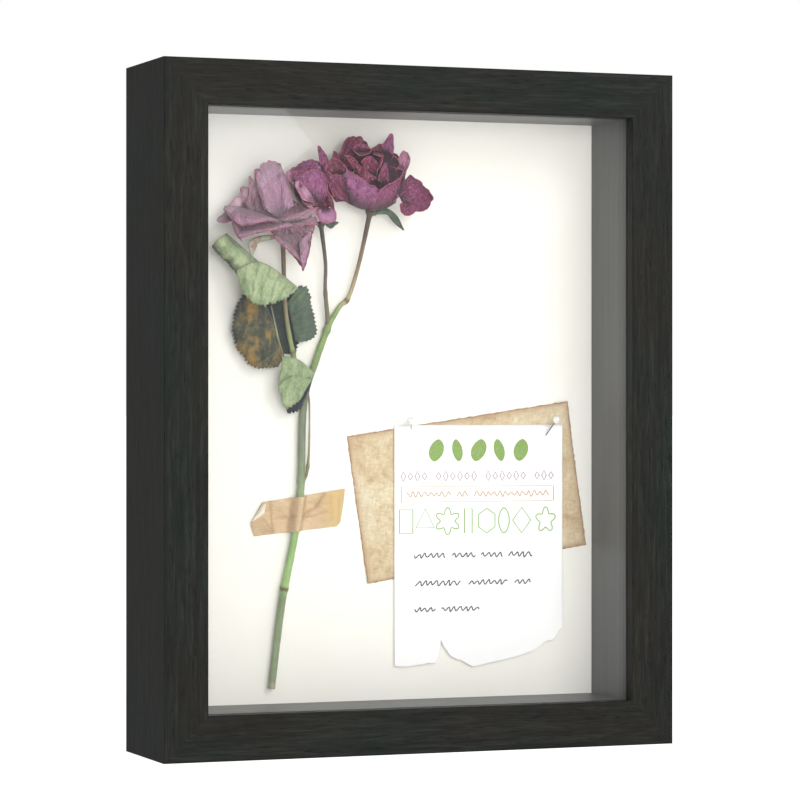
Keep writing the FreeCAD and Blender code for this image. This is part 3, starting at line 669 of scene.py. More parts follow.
def add_petal(skin, petal, middle, seed):
    """Adds a petal, painted with its place from root to rim, its tone and how pale its rim is."""
    rows, reaches = petal_rows(petal, middle, seed)
    skin.add_rows(rows, [[(reach, petal.tone, petal.pale)] * len(rows[0]) for reach in reaches])


HEART_LAYERS = 13
HEART_TURNS = 20


def add_heart(skin, centre, size, seed):
    """The closed, crumpled petals in a bloom's middle, painted all over as a root, so their painted shade
    shows dark between the open ones.
    """
    rings = []
    for layer in range(1, HEART_LAYERS + 1):
        lift = math.pi * layer / (HEART_LAYERS + 1)
        ring = []
        for step in range(HEART_TURNS):
            angle = math.tau * step / HEART_TURNS
            swell = 1 + 0.16 * wander(3 * math.cos(angle) + 3, 3 * math.sin(angle) + lift, seed)
            reach = swell * math.sin(lift)
            across, ahead = reach * math.cos(angle), reach * math.sin(angle)
            ring.append(centre + Vector((size.x * across, size.y * ahead, size.z * math.cos(lift))))
        rings.append(ring)
    # Painted as a root all over: the darkest painted shade.
    skin.add_rings(rings, [[(0, 0, 0)] * HEART_TURNS] * HEART_LAYERS)


def bloom(name, petals, centre, heart, heart_size, material, finish):
    """A whole bloom: its heart and its petals, from the back to the front."""
    skin = Skin()
    centre = Vector(centre)
    add_heart(skin, centre + Vector(heart), Vector(heart_size), seed=len(petals))
    for number, petal in enumerate(petals):
        add_petal(skin, petal, centre, seed=number + centre.x)
    mount(skin.piece(f"{name}_petals", material, thickness=0.28), finish, name)


BLOOM_RIGHT = [
    # Behind: a darkest-toned petal standing in for the shade in the gap below the left petals, the dome,
    # two dark petals, the ruffle and the pointed petal.
    Petal([(-17, -12, -6)], [(-29, 0, -5), (-27, -7, -5), (-23, -13, -5)], tone=0, pale=0),
    Petal([(-16, 0, -6)], [(-24, 4, -5), (-22, 9, -5), (-16, 10, -5), (-12, 6, -5)],
          belly=-1, tone=0.1, pale=0.1),
    Petal([(-14, 4, -5)], [(-21, 10, -4), (-18, 16, -4), (-11, 17, -5), (-6, 11, -5)],
          belly=-1, tone=0.3, ruffle=0.6),
    Petal([(1, 0, -6)], [(-6, 11, -4), (-2, 14, -4), (3, 11, -4), (9, 4, -3)],
          belly=-1, tone=0.1, ruffle=0.4),
    Petal([(4, -3, -6)], [(3, 11, -5), (8, 8, -4), (11, 2, -4), (8, -8, -3)],
          belly=-1, tone=0.2, pale=0.1),
    Petal([(-22, 5, -5)], [(-25, 6, -3), (-24, 10, -3), (-22, 9, -3), (-20, 10, -2)],
          tone=0.3, ruffle=1.2),
    Petal([(2, 9, -4)], [(-1, 13, -3), (4, 19, -2), (5, 14, -3), (5, 9, -3)],
          tone=0.7, pale=0.5, ruffle=0.8),
    # Right: the curled lobe, the outer petal and the lobe turned up below it.
    Petal([(9, 1, -3)], [(7, 7, 0), (10, 11, 1), (13, 7, 1), (11, 1, 0)], tone=0.5, pale=0.8, ruffle=0.6),
    Petal([(6, -7, 1)], [(13, 0, 2), (19, -4, 2), (24, -11, 2), (18, -17, 4), (11, -16, 5)],
          belly=-2, ruffle=0.5),
    Petal([(11, -12, 3)], [(8, -14, 6), (9, -18, 8), (13, -19, 8), (17, -16, 6)],
          tone=0.4, pale=0.5, ruffle=0.6),
    # Inside: the left petal, the heart's petal, its coils, the standing fold, the right petal and its gap.
    Petal([(-9, -6, 3)], [(-19, 8, 3), (-15, 7, 4), (-11, 3, 5), (-7, 0, 5), (-3, -2, 5)],
          tone=0.25, pale=0.4),
    Petal([(-6, -4, -3)], [(-11, 5, 1), (-7, 8, 2), (-3, 5, 2), (-3, -1, 1)], tone=0.3, pale=0.3),
    Petal([(-14, 10, -4), (-6, 10, -4)], [(-15, 11, 1), (-12, 8, 2), (-8, 9, 2), (-5, 12, 0)],
          tone=0.3, pale=0.4),
    Petal([(-15, 10, -5), (-6, 10, -5)], [(-15, 11, -1), (-13, 13, 0), (-9, 13, 0), (-6, 11, -1)],
          tone=0.4),
    Petal([(-1, 8, 2), (-4, 1, 2)], [(0, 8, 4), (-1, 4, 5), (-3, 1, 4)], tone=0.3, pale=0.6),
    Petal([(-5, 10, 1), (0, 9, 1)], [(-5, 9, 3), (-2, 8, 3), (0, 8, 3)], tone=0.2, pale=0.6),
    Petal([(0, -5, 0)], [(-3, -3, 2), (1, 5, 3), (3, -3, 2)], tone=0.5, pale=0.3),
    Petal([(6, -8, -3)], [(1, 1, -1), (5, 8, -2), (8, 6, -2)], tone=0.2, pale=0.5),
    Petal([(8, -9, -3)], [(6, 2, -1), (9, 6, -2), (10, 0, -1)], tone=0.1, pale=0.5),
    Petal([(2, 6, -4), (9, 4, -4)], [(2, 4, -1), (6, 3, 0), (10, 2, 0)], tone=0.3, pale=0.6),
    # Front: the two broad petals that cup the heart, the fold beside them and the two petals at the left.
    Petal([(-22, -2, -2)], [(-28, 1, 2), (-26, 5, 3), (-22, 6, 3), (-17, 1, 4)],
          tone=0.05, pale=0.6, ruffle=0.5),
    Petal([(-13, -15, -2)], [(-19, -1, 4), (-25, -1, 3), (-29, 1, 1), (-24, -11, 0)],
          belly=2, tone=0.4, pale=0.6),
    Petal([(-8, -17, 0), (0, -16, 0), (6, -13, 1)], [(-2, -8, 10), (3, -5, 9), (8, -2, 8), (10, 2, 6)],
          belly=3, tone=0.45, pale=0.5),
    Petal([(-18, -9, 1), (-14, -15, 0), (-5, -17, 0)],
          [(-18, 1, 9), (-12, -2, 9), (-7, -5, 10), (-2, -8, 10)],
          belly=3.5, tone=0.75, pale=0.5),
    Petal([(5, -12, 4), (10, -8, 4)], [(5, -13, 6), (8, -10, 6), (11, -8, 5)], tone=0.6, pale=0.7),
]
BLOOM_LEFT = [
    # Behind: the dark side towards the middle bloom, the pale lobe and three upright petals.
    Petal([(17, -3, -3)], [(10, 11, -4), (14, 7, -4), (19, -1, -3), (24, -3, -2)],
          belly=0, tone=0.1, pale=0),
    Petal([(8, -12, -3)], [(2, -4, -4), (10, 2, -4), (18, -2, -4), (22, -6, -3), (18, -12, -3)],
          tone=0.05, pale=0),
    Petal([(12, -8, -3)], [(2, -13, -3), (7, -17, -2), (14, -19, -2), (22, -14, -2), (24, -6, -2)],
          tone=0.1, pale=0),
    Petal([(-11, -3, -3)], [(-18, -2, -2), (-14, 2, -2), (-11, 3, -2)], tone=0.6, pale=1.0),
    Petal([(-10, -3, -2)], [(-11, 1, -1), (-12, 6, -2), (-8, 6, -1), (-8, 0, -1)], tone=0.2, pale=0.4),
    Petal([(-8, -4, -1)], [(-10, 0, 1), (-6, 5, 2), (-8, 11, 0), (-6, 10, 1), (-4, 4, 2)],
          tone=0.2, pale=0.6),
    Petal([(-3, -6, -1)], [(-5, -3, 1), (-5, 8, 1), (-5, 14, 0), (-1, 14, 0), (-1, 4, 1)],
          tone=0.1, pale=0.5),
    # The tall middle petal, seen from its back.
    Petal([(6, -7, 0)],
          [(-1, -3, 3), (-4, 8, 4), (-3, 15, 2), (1, 18, 0), (6, 18, 0), (10, 10, 3), (14, -1, 2)],
          belly=4, tone=0.75, pale=0.4, ruffle=0.4),
    # The petal rolled over at the left and the hollow at its end.
    Petal([(-18, -4, 0)], [(-22, -7, 0), (-23, -9, 2), (-20, -10, 3), (-15, -9, 4)],
          belly=-1, tone=0.3, pale=0.2),
    Petal([(-19, -2, 1), (-10, -3, 1), (6, -8, 2)],
          [(-20, -4, 3), (-15, -9, 7), (-9, -11, 8), (0, -9, 7), (6, -9, 6)],
          belly=2.5, tone=0.55, pale=0.3),
    # The lower petal: its dark inside, its rim turned out along the bottom and its left edge.
    Petal([(-6, -6, -1)], [(-15, -9, 3), (-12, -16, 5), (0, -13, 6), (10, -10, 5)],
          belly=-2, tone=0.1, pale=0),
    Petal([(-13, -14, 5), (0, -12, 6), (11, -9, 5)],
          [(-12, -17, 7), (-5, -15, 8), (4, -13, 8), (14, -11, 5)],
          belly=1.5, tone=0.4, pale=0.6),
    Petal([(-15, -9, 3), (-12, -14, 5)], [(-16, -10, 4), (-14, -15, 5), (-11, -18, 7)],
          tone=0.3, pale=0.6),
    # The right petal and the one below it.
    Petal([(10, -9, 3)], [(7, -8, 5), (12, -6, 6), (18, -4, 5), (25, -2, 1), (21, -7, 2)],
          belly=2, tone=0.1, pale=0.7),
    Petal([(11, -10, 2)], [(24, -6, 1), (25, -10, 3), (19, -10, 5), (13, -14, 6)], tone=0.2, pale=0.6),
    # The hanging petal: its inside, its left edge and its right side.
    Petal([(11, -14, -1)], [(4, -16, 0), (13, -24, 1), (18, -28, 2), (22, -13, 1)],
          belly=-1, tone=0.1, pale=0),
    Petal([(5, -15, 1), (12, -19, 1), (17, -25, 2)],
          [(4, -16, 2), (11, -22, 4), (17, -27, 4), (18, -31, 3)],
          tone=0.4, pale=0.5),
    Petal([(16, -18, 3)], [(18, -16, 4), (22, -13, 2), (21, -22, 3), (18, -31, 3), (17, -26, 4)],
          tone=0.6, pale=0.3),
]
BLOOM_MIDDLE = [
    # Behind: the crumpled top and the pointed petal.
    Petal([(-6, 1, -2)], [(-14, 5, 0), (-9, 8, 0), (-4, 10, 0), (1, 8, 0)],
          belly=2, tone=0.7, pale=0.2, ruffle=1.2),
    Petal([(1, 4, 0)], [(0, 8, 1), (-1, 16, 2), (2, 13, 3), (4, 9, 3), (3, 5, 2)], tone=0.6, pale=0.4),
    Petal([(0, -2, -3)], [(-6, -8, -3), (-2, -13, -3), (3, -13, -3), (5, -8, -3), (6, -1, -3)],
          tone=0.1, pale=0),
    # The side lobe, the broad petal, its pale neighbour, and the edges above and below them.
    Petal([(-11, 0, -1)], [(-15, -1, 0), (-16, 3, 1), (-13, 5, 2), (-11, 2, 2)], tone=0.5, pale=0.9),
    Petal([(-1, -11, -2)], [(-12, -1, 4), (-11, 3, 5), (-2, 6, 5), (3, 1, 3), (4, -6, 2)],
          belly=3, tone=0.7,
          ruffle=0.6),
    Petal([(-1, -11, 0)], [(-8, -9, 5), (-12, -2, 6), (-9, -1, 7), (-6, -4, 7)],
          tone=0.7, pale=1.0, ruffle=0.5),
    Petal([(-13, 5, 2), (-2, 6, 3)], [(-14, 4, 3), (-8, 4, 6), (-2, 5, 5)], tone=0.4, pale=0.6),
    Petal([(-9, -8, 0), (-1, -10, 0)], [(-9, -9, 2), (-6, -11, 3), (-1, -11, 1)], tone=0.3, pale=0.6),
    # The strip down the right and the crumpled lobe at the stem.
    Petal([(2, -3, 0), (4, -11, -1)], [(3, -3, 1), (6, -8, 2), (7, -13, 1)], tone=0.3, pale=0.6),
    Petal([(3, -12, -3)],
          [(-2, -13, 0), (-1, -17, 1), (2, -19, 1), (7, -18, 1), (8, -14, 0), (6, -12, -1)],
          belly=2.5, tone=0.85, pale=0.8, ruffle=0.7),
]


def build_blooms():
    purple = petal_skin("purple_petal", 0.0)
    dusty = petal_skin("dusty_petal", 1.0)
    bloom("bloom_right", BLOOM_RIGHT, (-9.3, 17, 262), (0, -4, 0), (12, 5, 11), purple, "purple_petal")
    bloom("bloom_middle", BLOOM_MIDDLE, (-40, 17, 258), (-4, -4, -3), (7, 4, 8), purple, "purple_petal")
    bloom("bloom_left", BLOOM_LEFT, (-66, 17, 248), (0, -4, -2), (11, 5, 8), dusty, "dusty_petal")


def blade(root, rim, veins, belly=0.5, teeth=1.6):
    """A blade of a leaf, with an edge that barely curls and is toothed unless teeth is 0."""
    return Petal(root, rim, belly=belly, tone=veins, roll=50, ruffle=0.3, teeth=teeth)


# Leaves: skin, CAD finish, middle, and each blade with how much painted shade darkens it.
LEAVES = {
    "leaf_curled": ("sage_leaf", "sage_leaf", (-70, 12, 216), [
        # the roll, its hollow back, darkened with painted shade, and the flap that folds over it
        (blade([(-13, 18, 0), (-6, 12, 1), (4, 4, 2)],
               [(-20, 12, 0), (-13, 5, 0), (-8, 0, 1), (-4, -9, 2)],
               0.1, belly=4.5), 0),
        (blade([(-13, 18, 0), (4, 4, 1)], [(-20, 12, 0), (-8, 0, 0)], 0, belly=-3), 0.75),
        (blade([(-8, 1, 5), (-3, 4, 6), (3, 5, 6), (10, 2, 4), (21, -6, 1)],
               [(-5, -9, 4), (2, -14, 5), (13, -12, 3), (21, -7, 1)], 0.6, belly=2), 0),
    ]),
    "leaf_round": ("olive_leaf", "olive_leaf", (-66, 5, 190), [
        (blade([(3, 14, -1), (9, 1, 0), (12, -13, 0)],
               [(-6, 17, 2), (-10, 9, 1), (-11, -1, 1), (-8, -9, 1), (-1, -16, 2), (10, -16, 1)],
               0.25, belly=2), 0),
    ]),
    "leaf_dark": ("moss_leaf", "olive_leaf", (-46, 6, 196), [
        (blade([(-6, 7, -2), (-2, -10, -2)],
               [(0, 15, 2), (4, 13, 2), (6, 4, 1), (8, -5, 0), (6, -9, 0), (0, -11, -1)],
               0.3, belly=1.5), 0),
        # the blade behind, darkened with painted shade
        (blade([(-20, 10, -5), (-9, -16, -4)], [(-1, 12, -4), (-1, -9, -3), (-3, -16, -3)],
               0.2, belly=0), 0.8),
    ]),
    "leaf_small": ("sage_leaf", "sage_leaf", (-49, 9, 167), [
        (blade([(-6, 12, 0), (2, 10, 0), (9, 4, -1)], [(-8, -1, 1), (-1, 2, 2), (7, 1, 0)],
               0.2, belly=1), 0),
        (blade([(-8, -1, 2), (-1, 3, 3), (8, 1, 0)], [(-7, -6, 0), (-5, -11, -1), (1, -9, 0), (6, -1, 0)],
               0.3, belly=1), 0),
        # the underside, darkened with painted shade
        (blade([(-5, -10, -2), (3, -7, -2), (8, 1, -2)], [(-4, -14, -3), (2, -12, -3), (6, -5, -3)],
               0), 1.0),
    ]),
    "sepal_left": ("blush_sepal", "sage_leaf", (-66, 11, 230), [
        (blade([(8, 4, -2), (-1, 3, -1), (-6, 0, 1), (-5, -6, 2)],
               [(8, 2, -2), (-1, 0, -1), (-2, -2, 1), (-4, -6, 3)], 0, teeth=0), 0.05),
    ]),
    "sepal_right": ("moss_leaf", "sage_leaf", (-6, 9, 243), [
        (blade([(-7, 1, 0), (0, 4, 1), (6, 1, 0), (10, -6, -1)],
               [(-6, 0, 0), (1, 1, 1), (4, -2, 0), (9, -6, -1)], 0, teeth=0), 0),
    ]),
    "sepal_middle": ("moss_leaf", "sage_leaf", (-32, 9, 240), [
        (blade([(-4, 2, 0), (4, 0, 0)], [(-3, -1, 0), (0, -3, 0), (3, -1, 0)], 0, teeth=0), 0.3),
    ]),
}
VEIN_GAP = 5.5  # between a leaf's side veins
VEIN_WIDTH = 0.55


def add_blade(skin, piece, shade, middle, seed):
    """Adds a leaf's blade, with side veins that run out from its root."""
    rows, reaches = petal_rows(piece, middle, seed)
    columns = len(rows[0])
    veins = max(2, round(columns * COLUMN_GAP / VEIN_GAP))
    paint = []
    for reach in reaches:
        line = []
        for column in range(columns):
            bend = 0.25 * wander(3 * reach, column * 0.15, seed)
            phase = veins * (column / columns + 0.22 * reach) + bend
            nearness = abs(phase - round(phase)) / veins * columns * COLUMN_GAP
            line.append((reach, shade, clamp(1 - nearness / VEIN_WIDTH) * piece.tone))
        paint.append(line)
    skin.add_rows(rows, paint)


def build_leaves():
    skins = {}
    for name, *looks in (
        ("sage_leaf", (104, 124, 92), (144, 160, 120), (176, 188, 150), (190, 194, 158), 0.25),
        ("olive_leaf", (34, 40, 42), (72, 74, 60), (124, 122, 92), (152, 118, 56), 0.85),
        ("moss_leaf", (62, 72, 66), (86, 100, 84), (108, 120, 96), (94, 112, 84), 0.4),
        ("blush_sepal", (116, 140, 96), (168, 180, 148), (212, 200, 192), (170, 84, 108), 0.8),
    ):
        skins[name] = leaf_skin(name, *looks)
    for leaf, (skin_name, finish, middle, blades) in LEAVES.items():
        skin = Skin()
        for number, (piece, shade) in enumerate(blades):
            add_blade(skin, piece, shade, Vector(middle), seed=number + len(leaf))
        mount(skin.piece(f"{leaf}_blade", skins[skin_name], thickness=0.3), finish, leaf)


# ---------------------------------------------------------------- stems

# Stems: (x, off, z) points along each one.
STEM_MAIN = [
    (-58.5, 3, 27.5), (-55, 3, 56), (-52.5, 3, 72), (-47.5, 3, 96),
    (-44.5, 3, 116), (-43, 3, 157), (-37, 3, 177), (-30.5, 3, 194),
]
BRANCH_RIGHT = [(-31, 3, 193), (-25.5, 3.5, 202), (-21.5, 4, 206), (-17, 6, 222), (-13.5, 11.5, 246)]
BRANCH_MIDDLE = [(-31, 3, 193.5), (-33, 4.5, 209), (-33.5, 6, 222), (-37.5, 10.5, 240)]
BRANCH_LEFT = [(-43, 3, 160.5), (-49, 5, 181), (-53, 6.5, 201), (-55, 9, 228), (-56.5, 10.5, 234)]
TWIG = [(-42, 3.6, 163.5), (-40.5, 3.6, 158), (-40.5, 3.6, 138), (-41.5, 3.4, 126), (-43.5, 3, 121)]
LEAF_STALK = [(-60, 6.5, 202.5), (-56, 5.5, 186.5), (-53.5, 5, 179)]
STALK_GAP = 0.8  # between neighbouring rings of a stem
KNOT_LENGTH = 1.3


def stalk(name, points, radii, nodes, material, finish, knots=(), bark=()):
    """A stem whose radius runs through radii. Knots are (place, swelling) and bark (place, length)."""
    count = max(12, round(measured([Vector(p) for p in points])[-1] / STALK_GAP))
    path = smooth_path(points, count)
    thickness = []
    paint = []
    for index in range(count):
        reach = index / (count - 1)
        half = reach * (len(radii) - 1)
        lower = min(int(half), len(radii) - 2)
        radius = radii[lower] + (radii[lower + 1] - radii[lower]) * (half - lower)
        for place, swelling in knots:
            radius += swelling * math.exp(-(((reach - place) * count * STALK_GAP / KNOT_LENGTH) ** 2))
        radius *= 1 + 0.05 * wander(index * 0.35, 0, len(points))
        rough = 0.0
        for place, length in bark:
            rough = max(rough, clamp(1.5 - abs(reach - place) * count * STALK_GAP / length))
        thickness.append(radius)
        paint.append((reach, 0.8 * rough, 0))
    skin = Skin()
    skin.add_tube(path, thickness, paint)
    mount(skin.piece(name, material), finish, *nodes)


def build_stems():
    green = stem_skin(
        "green_stem", (0.0, (206, 192, 164)), (0.02, (150, 162, 130)), (0.24, (138, 156, 118)),
        (0.275, (162, 196, 126)), (0.42, (158, 190, 126)), (0.56, (148, 162, 128)), (0.66, (134, 142, 120)),
        (0.8, (122, 128, 106)), (0.9, (142, 164, 108)),
    )
    brown = stem_skin(
        "brown_stem", (0.0, (150, 172, 112)), (0.12, (146, 168, 108)), (0.25, (186, 174, 138)),
        (0.5, (160, 140, 112)), (0.8, (98, 84, 74)),
    )
    grey = stem_skin("grey_stem", (0.0, (128, 124, 104)), (0.4, (118, 106, 92)), (0.9, (84, 76, 72)))
    fresh = stem_skin(
        "fresh_stem", (0.0, (128, 140, 96)), (0.3, (150, 164, 112)), (0.5, (138, 128, 100)),
        (0.9, (128, 104, 92)),
    )
    straw = stem_skin("straw_stem", (0.0, (122, 116, 96)), (0.4, (168, 164, 132)), (0.9, (140, 132, 100)))
    stalk("stem_main_bark", STEM_MAIN, (1.65, 1.7, 1.7, 1.75, 1.5), ["stem_main"], green, "green_stem",
          knots=[(0.272, 0.45), (0.56, 0.25), (0.98, 0.5)], bark=[(0.268, 0.9)])
    stalk("branch_right_bark", BRANCH_RIGHT, (1.35, 1.05, 0.95, 1.0, 1.3), ["branch_right"], brown,
          "brown_stem", knots=[(0.25, 0.35), (0.98, 1.2)], bark=[(0.25, 1.0)])
    stalk("branch_middle_bark", BRANCH_MIDDLE, (1.1, 0.85, 0.85, 1.1), ["branch_middle"], grey,
          "brown_stem", knots=[(0.0, 0.3), (0.3, 0.2), (0.98, 1.0)])
    stalk("branch_left_bark", BRANCH_LEFT, (1.2, 1.15, 1.05, 1.0, 1.2), ["branch_left"], fresh,
          "brown_stem", knots=[(0.28, 0.3), (0.98, 1.2)], bark=[(0.28, 0.7)])
    stalk("twig", TWIG, (0.5, 0.42, 0.5, 0.8), [], straw, "brown_stem", knots=[(0.82, 0.3)])
    stalk("leaf_stalk", LEAF_STALK, (0.25, 0.4, 0.5), [], straw, "brown_stem")


# ---------------------------------------------------------------- papers and tape


def tilted(centre, size, tilt, u, w, off):
    """The display point at (u, w) from the lower left corner of a tilted rectangle."""
    across = u - size[0] / 2
    up = w - size[1] / 2
    turn = math.radians(tilt)
    x = centre[0] + across * math.cos(turn) - up * math.sin(turn)
    z = centre[1] + across * math.sin(turn) + up * math.cos(turn)
    return Vector((x, off, z))


PAPER_CENTRE = (39.3, 116.3)
PAPER_SIZE = (111.6, 68.6)
PAPER_TILT = 8.3


def paper_spot(across, up):
    """The aged paper's point and paint at a share of the way across it and up it."""
    width, height = PAPER_SIZE
    u, w = width * across, height * up
    to_rim = min(u, width - u, w, height - w)
    chip = 0.35 * wander(u * 0.9, w * 0.9, 5) if to_rim < 0.01 else 0
    corner = min(math.hypot(u, w), math.hypot(width - u, height - w))
    lift = 0.22 + 0.1 * wander(u * 0.06, w * 0.06, 1) + 0.9 * math.exp(-corner / 7)
    point = tilted(PAPER_CENTRE, PAPER_SIZE, PAPER_TILT, u + chip, w + chip, lift)
    return point, (math.exp(-to_rim / 1.6), 0, 0)


def build_aged_paper():
    """A tilted sheet that lies slightly wavy, with two lifted corners and a worn rim."""
    skin = spread(150, 92, paper_spot)
    mount(skin.piece("aged_paper_sheet", aged_paper(-PAPER_TILT), 0.2), "aged_paper", "aged_paper")


CARD_LEFT, CARD_RIGHT = 2.1, 87.0
CARD_LOW, CARD_TOP = 34.6, 147.3
CARD_THICKNESS = 0.25
# The torn lower edge: how far from the card's left side, then how far above its lowest point.
TORN_EDGE = [
    (0, 1.4), (5, 0.9), (9, 1.2), (16, 2.2), (20.5, 2.0), (22.3, 6.5), (23.0, 13.2),
    (24.2, 10.4), (27.6, 5.6), (31, 3.6), (33.4, 3.2), (36.5, 1.2), (39.2, 0), (46, 1.3),
    (58, 3.4), (64, 5.0), (70.4, 6.8), (76, 11), (80, 11.4), (82.4, 15.2), (84.9, 17.6),
]


def torn_height(x):
    """How far the torn edge stands above the card's lowest point, x millimetres from its left side."""
    return follow(TORN_EDGE, x)


def card_front(x, z):
    """How far the card's front stands off the sheet. Its left side and its torn edge lift a little."""
    from_left = x - CARD_LEFT
    above_tear = z - CARD_LOW - torn_height(from_left)
    side = 0.55 * math.exp(-from_left / 5)
    flutter = (0.6 + 0.45 * wander(x * 0.16, 0, 9)) * math.exp(-max(above_tear, 0) / 4)
    return 0.85 + side + flutter + 0.05 * wander(x * 0.08, z * 0.08, 4)


def card_spot(across, up):
    """The note card's point and paint at a share of the way across it and up it."""
    x = CARD_LEFT + (CARD_RIGHT - CARD_LEFT) * across
    nibble = 0.3 * wander(x * 1.9, 0, 2) + 0.16 * wander(x * 5, 0, 6)
    low = CARD_LOW + torn_height(x - CARD_LEFT) + nibble
    z = low + (CARD_TOP - low) * up**1.6  # the rows are closest together at the torn edge
    return Vector((x, card_front(x, z), z)), (math.exp(-(z - low) / 0.5), 0, 0)


def build_note_card():
    """A white card whose lower edge is torn."""
    skin = spread(220, 90, card_spot)
    mount(skin.piece("note_card_sheet", white_card(), CARD_THICKNESS, offset=-1), "white_card", "note_card")


TAPE_CENTRE = (-47, 107.6)
TAPE_SIZE = (42.5, 15.6)
TAPE_TILT = 8.1
TAPE_TOP = 14.6
TAPE_ROWS = 60
# Its ends, as (share of the way up, place along the tape): the left end is torn and the right one slants.
TAPE_LEFT = [(0, 1), (0.4, 0), (1, 7)]
TAPE_RIGHT = [(0, 41), (0.1, 43), (1, 47.5)]
# Creases in the tape: the points of each in millimetres from the lower left corner, its height and width.
TAPE_CREASES = [
    ([(13, 7), (30, 5), (37, 6)], 0.8, 0.9),
    ([(25, 6), (32, 8), (37, 14)], 1.1, 1.0),
    ([(11, 14), (10, 1)], 0.75, 0.45),
    ([(7, 7), (10, 1)], 0.6, 0.5),
    ([(6, 4), (9, 1)], 0.4, 0.5),
    ([(40, 13), (39, 3)], 0.6, 1.1),
    ([(44, 10), (42, 0)], 0.5, 0.8),
    ([(27, 1), (33, 3)], 0.3, 0.8),
    ([(28, 13), (31, 10)], 0.4, 0.8),
    ([(15, 11), (20, 13)], 0.25, 0.8),
]


def to_segment(u, w, start, end):
    """The distance from (u, w) to a straight line between two points."""
    across, up = end[0] - start[0], end[1] - start[1]
    share = clamp(((u - start[0]) * across + (w - start[1]) * up) / (across**2 + up**2))
    return math.hypot(u - start[0] - share * across, w - start[1] - share * up)


def tape_shape(u, w):
    """How far the tape stands off the sheet, and how creased it is there."""
    stem = 20.4 + 0.3 * w
    hump = 5.3 * math.exp(-((abs(u - stem) / 2.8) ** 2.6))
    crease = 0.0
    for line, height, width in TAPE_CREASES:
        nearest = min(to_segment(u, w, start, end) for start, end in zip(line, line[1:]))
        crease += height * math.exp(-nearest / width)
    ripple = 0.22 * wander(u * 0.3, w * 0.3, 8) + 0.08 * wander(u * 1.1, w * 1.1, 3)
    free_end = 0.7 * math.exp(-abs(u - 45) / 1.6) + 0.5 * math.exp(-abs(u) / 1.2)
    return 0.4 + max(hump, 1.2 * crease + 0.3 * hump) + ripple + free_end, clamp(crease - 0.25)


def on_tape(u, w, off):
    return tilted(TAPE_CENTRE, TAPE_SIZE, TAPE_TILT, u, w, off)


def tape_spot(across, up):
    """The tape's point and paint at a share of the way along it and up it."""
    left, right = follow(TAPE_LEFT, up), follow(TAPE_RIGHT, up)
    u = left + (right - left) * across
    low = -0.1 - 1.7 * across
    edge = 0.12 * wander(u * 1.2, TAPE_ROWS * up, 7) if up in (0, 1) else 0
    w = low + (TAPE_TOP - low) * up + edge
    off, creased = tape_shape(u, w)
    return on_tape(u, w, off), (0.5 * creased, 0.8 * ease((u - 32) / 10), 0)


def build_tape():
    """Crumpled paper tape over the stem, with its upper left corner folded over the front."""
    skin = spread(160, TAPE_ROWS, tape_spot)
    outer = [(7, 14.5, 1.8), (3.5, 10.5, 1.8), (0, 6, 1.3)]
    inner = [(8, 13.5, 2.4), (6.5, 9.5, 2.8), (1.5, 7, 1.8)]
    flap_rows = [[on_tape(*spot) for spot in side] for side in (outer, inner)]
    skin.add_rows(flap_rows, [[(0, 0, 1)] * len(outer)] * 2)
    mount(skin.piece("tape_strip_sheet", kraft_tape(-TAPE_TILT), 0.16), "kraft_tape", "tape_strip")


# ---------------------------------------------------------------- printed marks

INK_LIFT = 0.1  # how far the ink stands in front of the card


def on_card(x, down):
    """A point on the card's front, x from its left side and down from its top."""
    spot = (CARD_LEFT + x, CARD_TOP - down)
    return Vector((spot[0], card_front(*spot) + INK_LIFT, spot[1]))


def add_stroke(skin, line, width, closed=False):
    """A flat line of ink through (x, down) points."""
    points = [Vector(point).to_2d() for point in line]
    count = len(points)
    sides = ([], [])
    for index, point in enumerate(points):
        before = points[index - 1] if closed or index else point
        after = points[(index + 1) % count] if closed or index < count - 1 else point
        along_line = (after - before).normalized()
        across = Vector((-along_line.y, along_line.x)) * width / 2
        sides[0].append(on_card(*(point + across)))
        sides[1].append(on_card(*(point - across)))
    if closed:
        sides[0].append(sides[0][0])
        sides[1].append(sides[1][0])
    skin.add_rows(sides, [[(0, 0, 0)] * len(sides[0])] * 2)


def polygon(x, down, width, height, corners, lean=0.0):
    """The corners of a regular shape, as (x, down) points."""
    angles = [math.tau * (corner + lean) / corners for corner in range(corners)]
    return [(x + width / 2 * math.sin(a), down - height / 2 * math.cos(a)) for a in angles]


def leaf_outline(x, down, width, height, lean):
    """A pointed leaf, leaning to one side."""
    sides = 24
    outline = []
    for step in range(sides):
        angle = math.tau * step / sides
        side = width / 2 * math.sin(angle) * abs(math.sin(angle)) ** 0.3
        up = height / 2 * math.cos(angle)
        outline.append((x + side + lean * up, down - up))
    return outline


def flower_outline(x, down, width, height, lobes):
    """A simple flower."""
    sides = lobes * 10
    outline = []
    for step in range(sides):
        angle = math.tau * step / sides
        reach = 0.78 + 0.22 * math.cos(lobes * angle)
        side = width / 2 * reach * math.sin(angle)
        up = height / 2 * reach * math.cos(angle)
        outline.append((x + side, down - up))
    return outline


WAVE_STEP = 0.2  # between neighbouring points of a wavy line


def wave(start, end, down, height, pitch, seed, slant=0.0):
    """A wavy line whose waves differ, like a scribble that can't be read."""
    line = []
    for step in range(round((end - start) / WAVE_STEP) + 1):
        x = start + step * WAVE_STEP
        size = height * (0.55 + 0.45 * wander(x * 0.45, 0, seed))
        rise = size * math.sin(math.tau * x / pitch + 1.2 * wander(x * 0.3, 1, seed))
        line.append((x + slant * rise, down - rise))
    return line


def mark(name, colour, strokes=(), solids=()):
    """Ink of one colour. Each stroke is (line, width, closed) and each solid is an outline."""
    skin = Skin()
    for line, width, closed in strokes:
        add_stroke(skin, line, width, closed)
    for outline in solids:
        skin.add_fan([on_card(*point) for point in outline], (0, 0, 0))
    mount(skin.piece(name, ink(f"{name}_ink", colour), 0.05, smooth=False), "white_card")


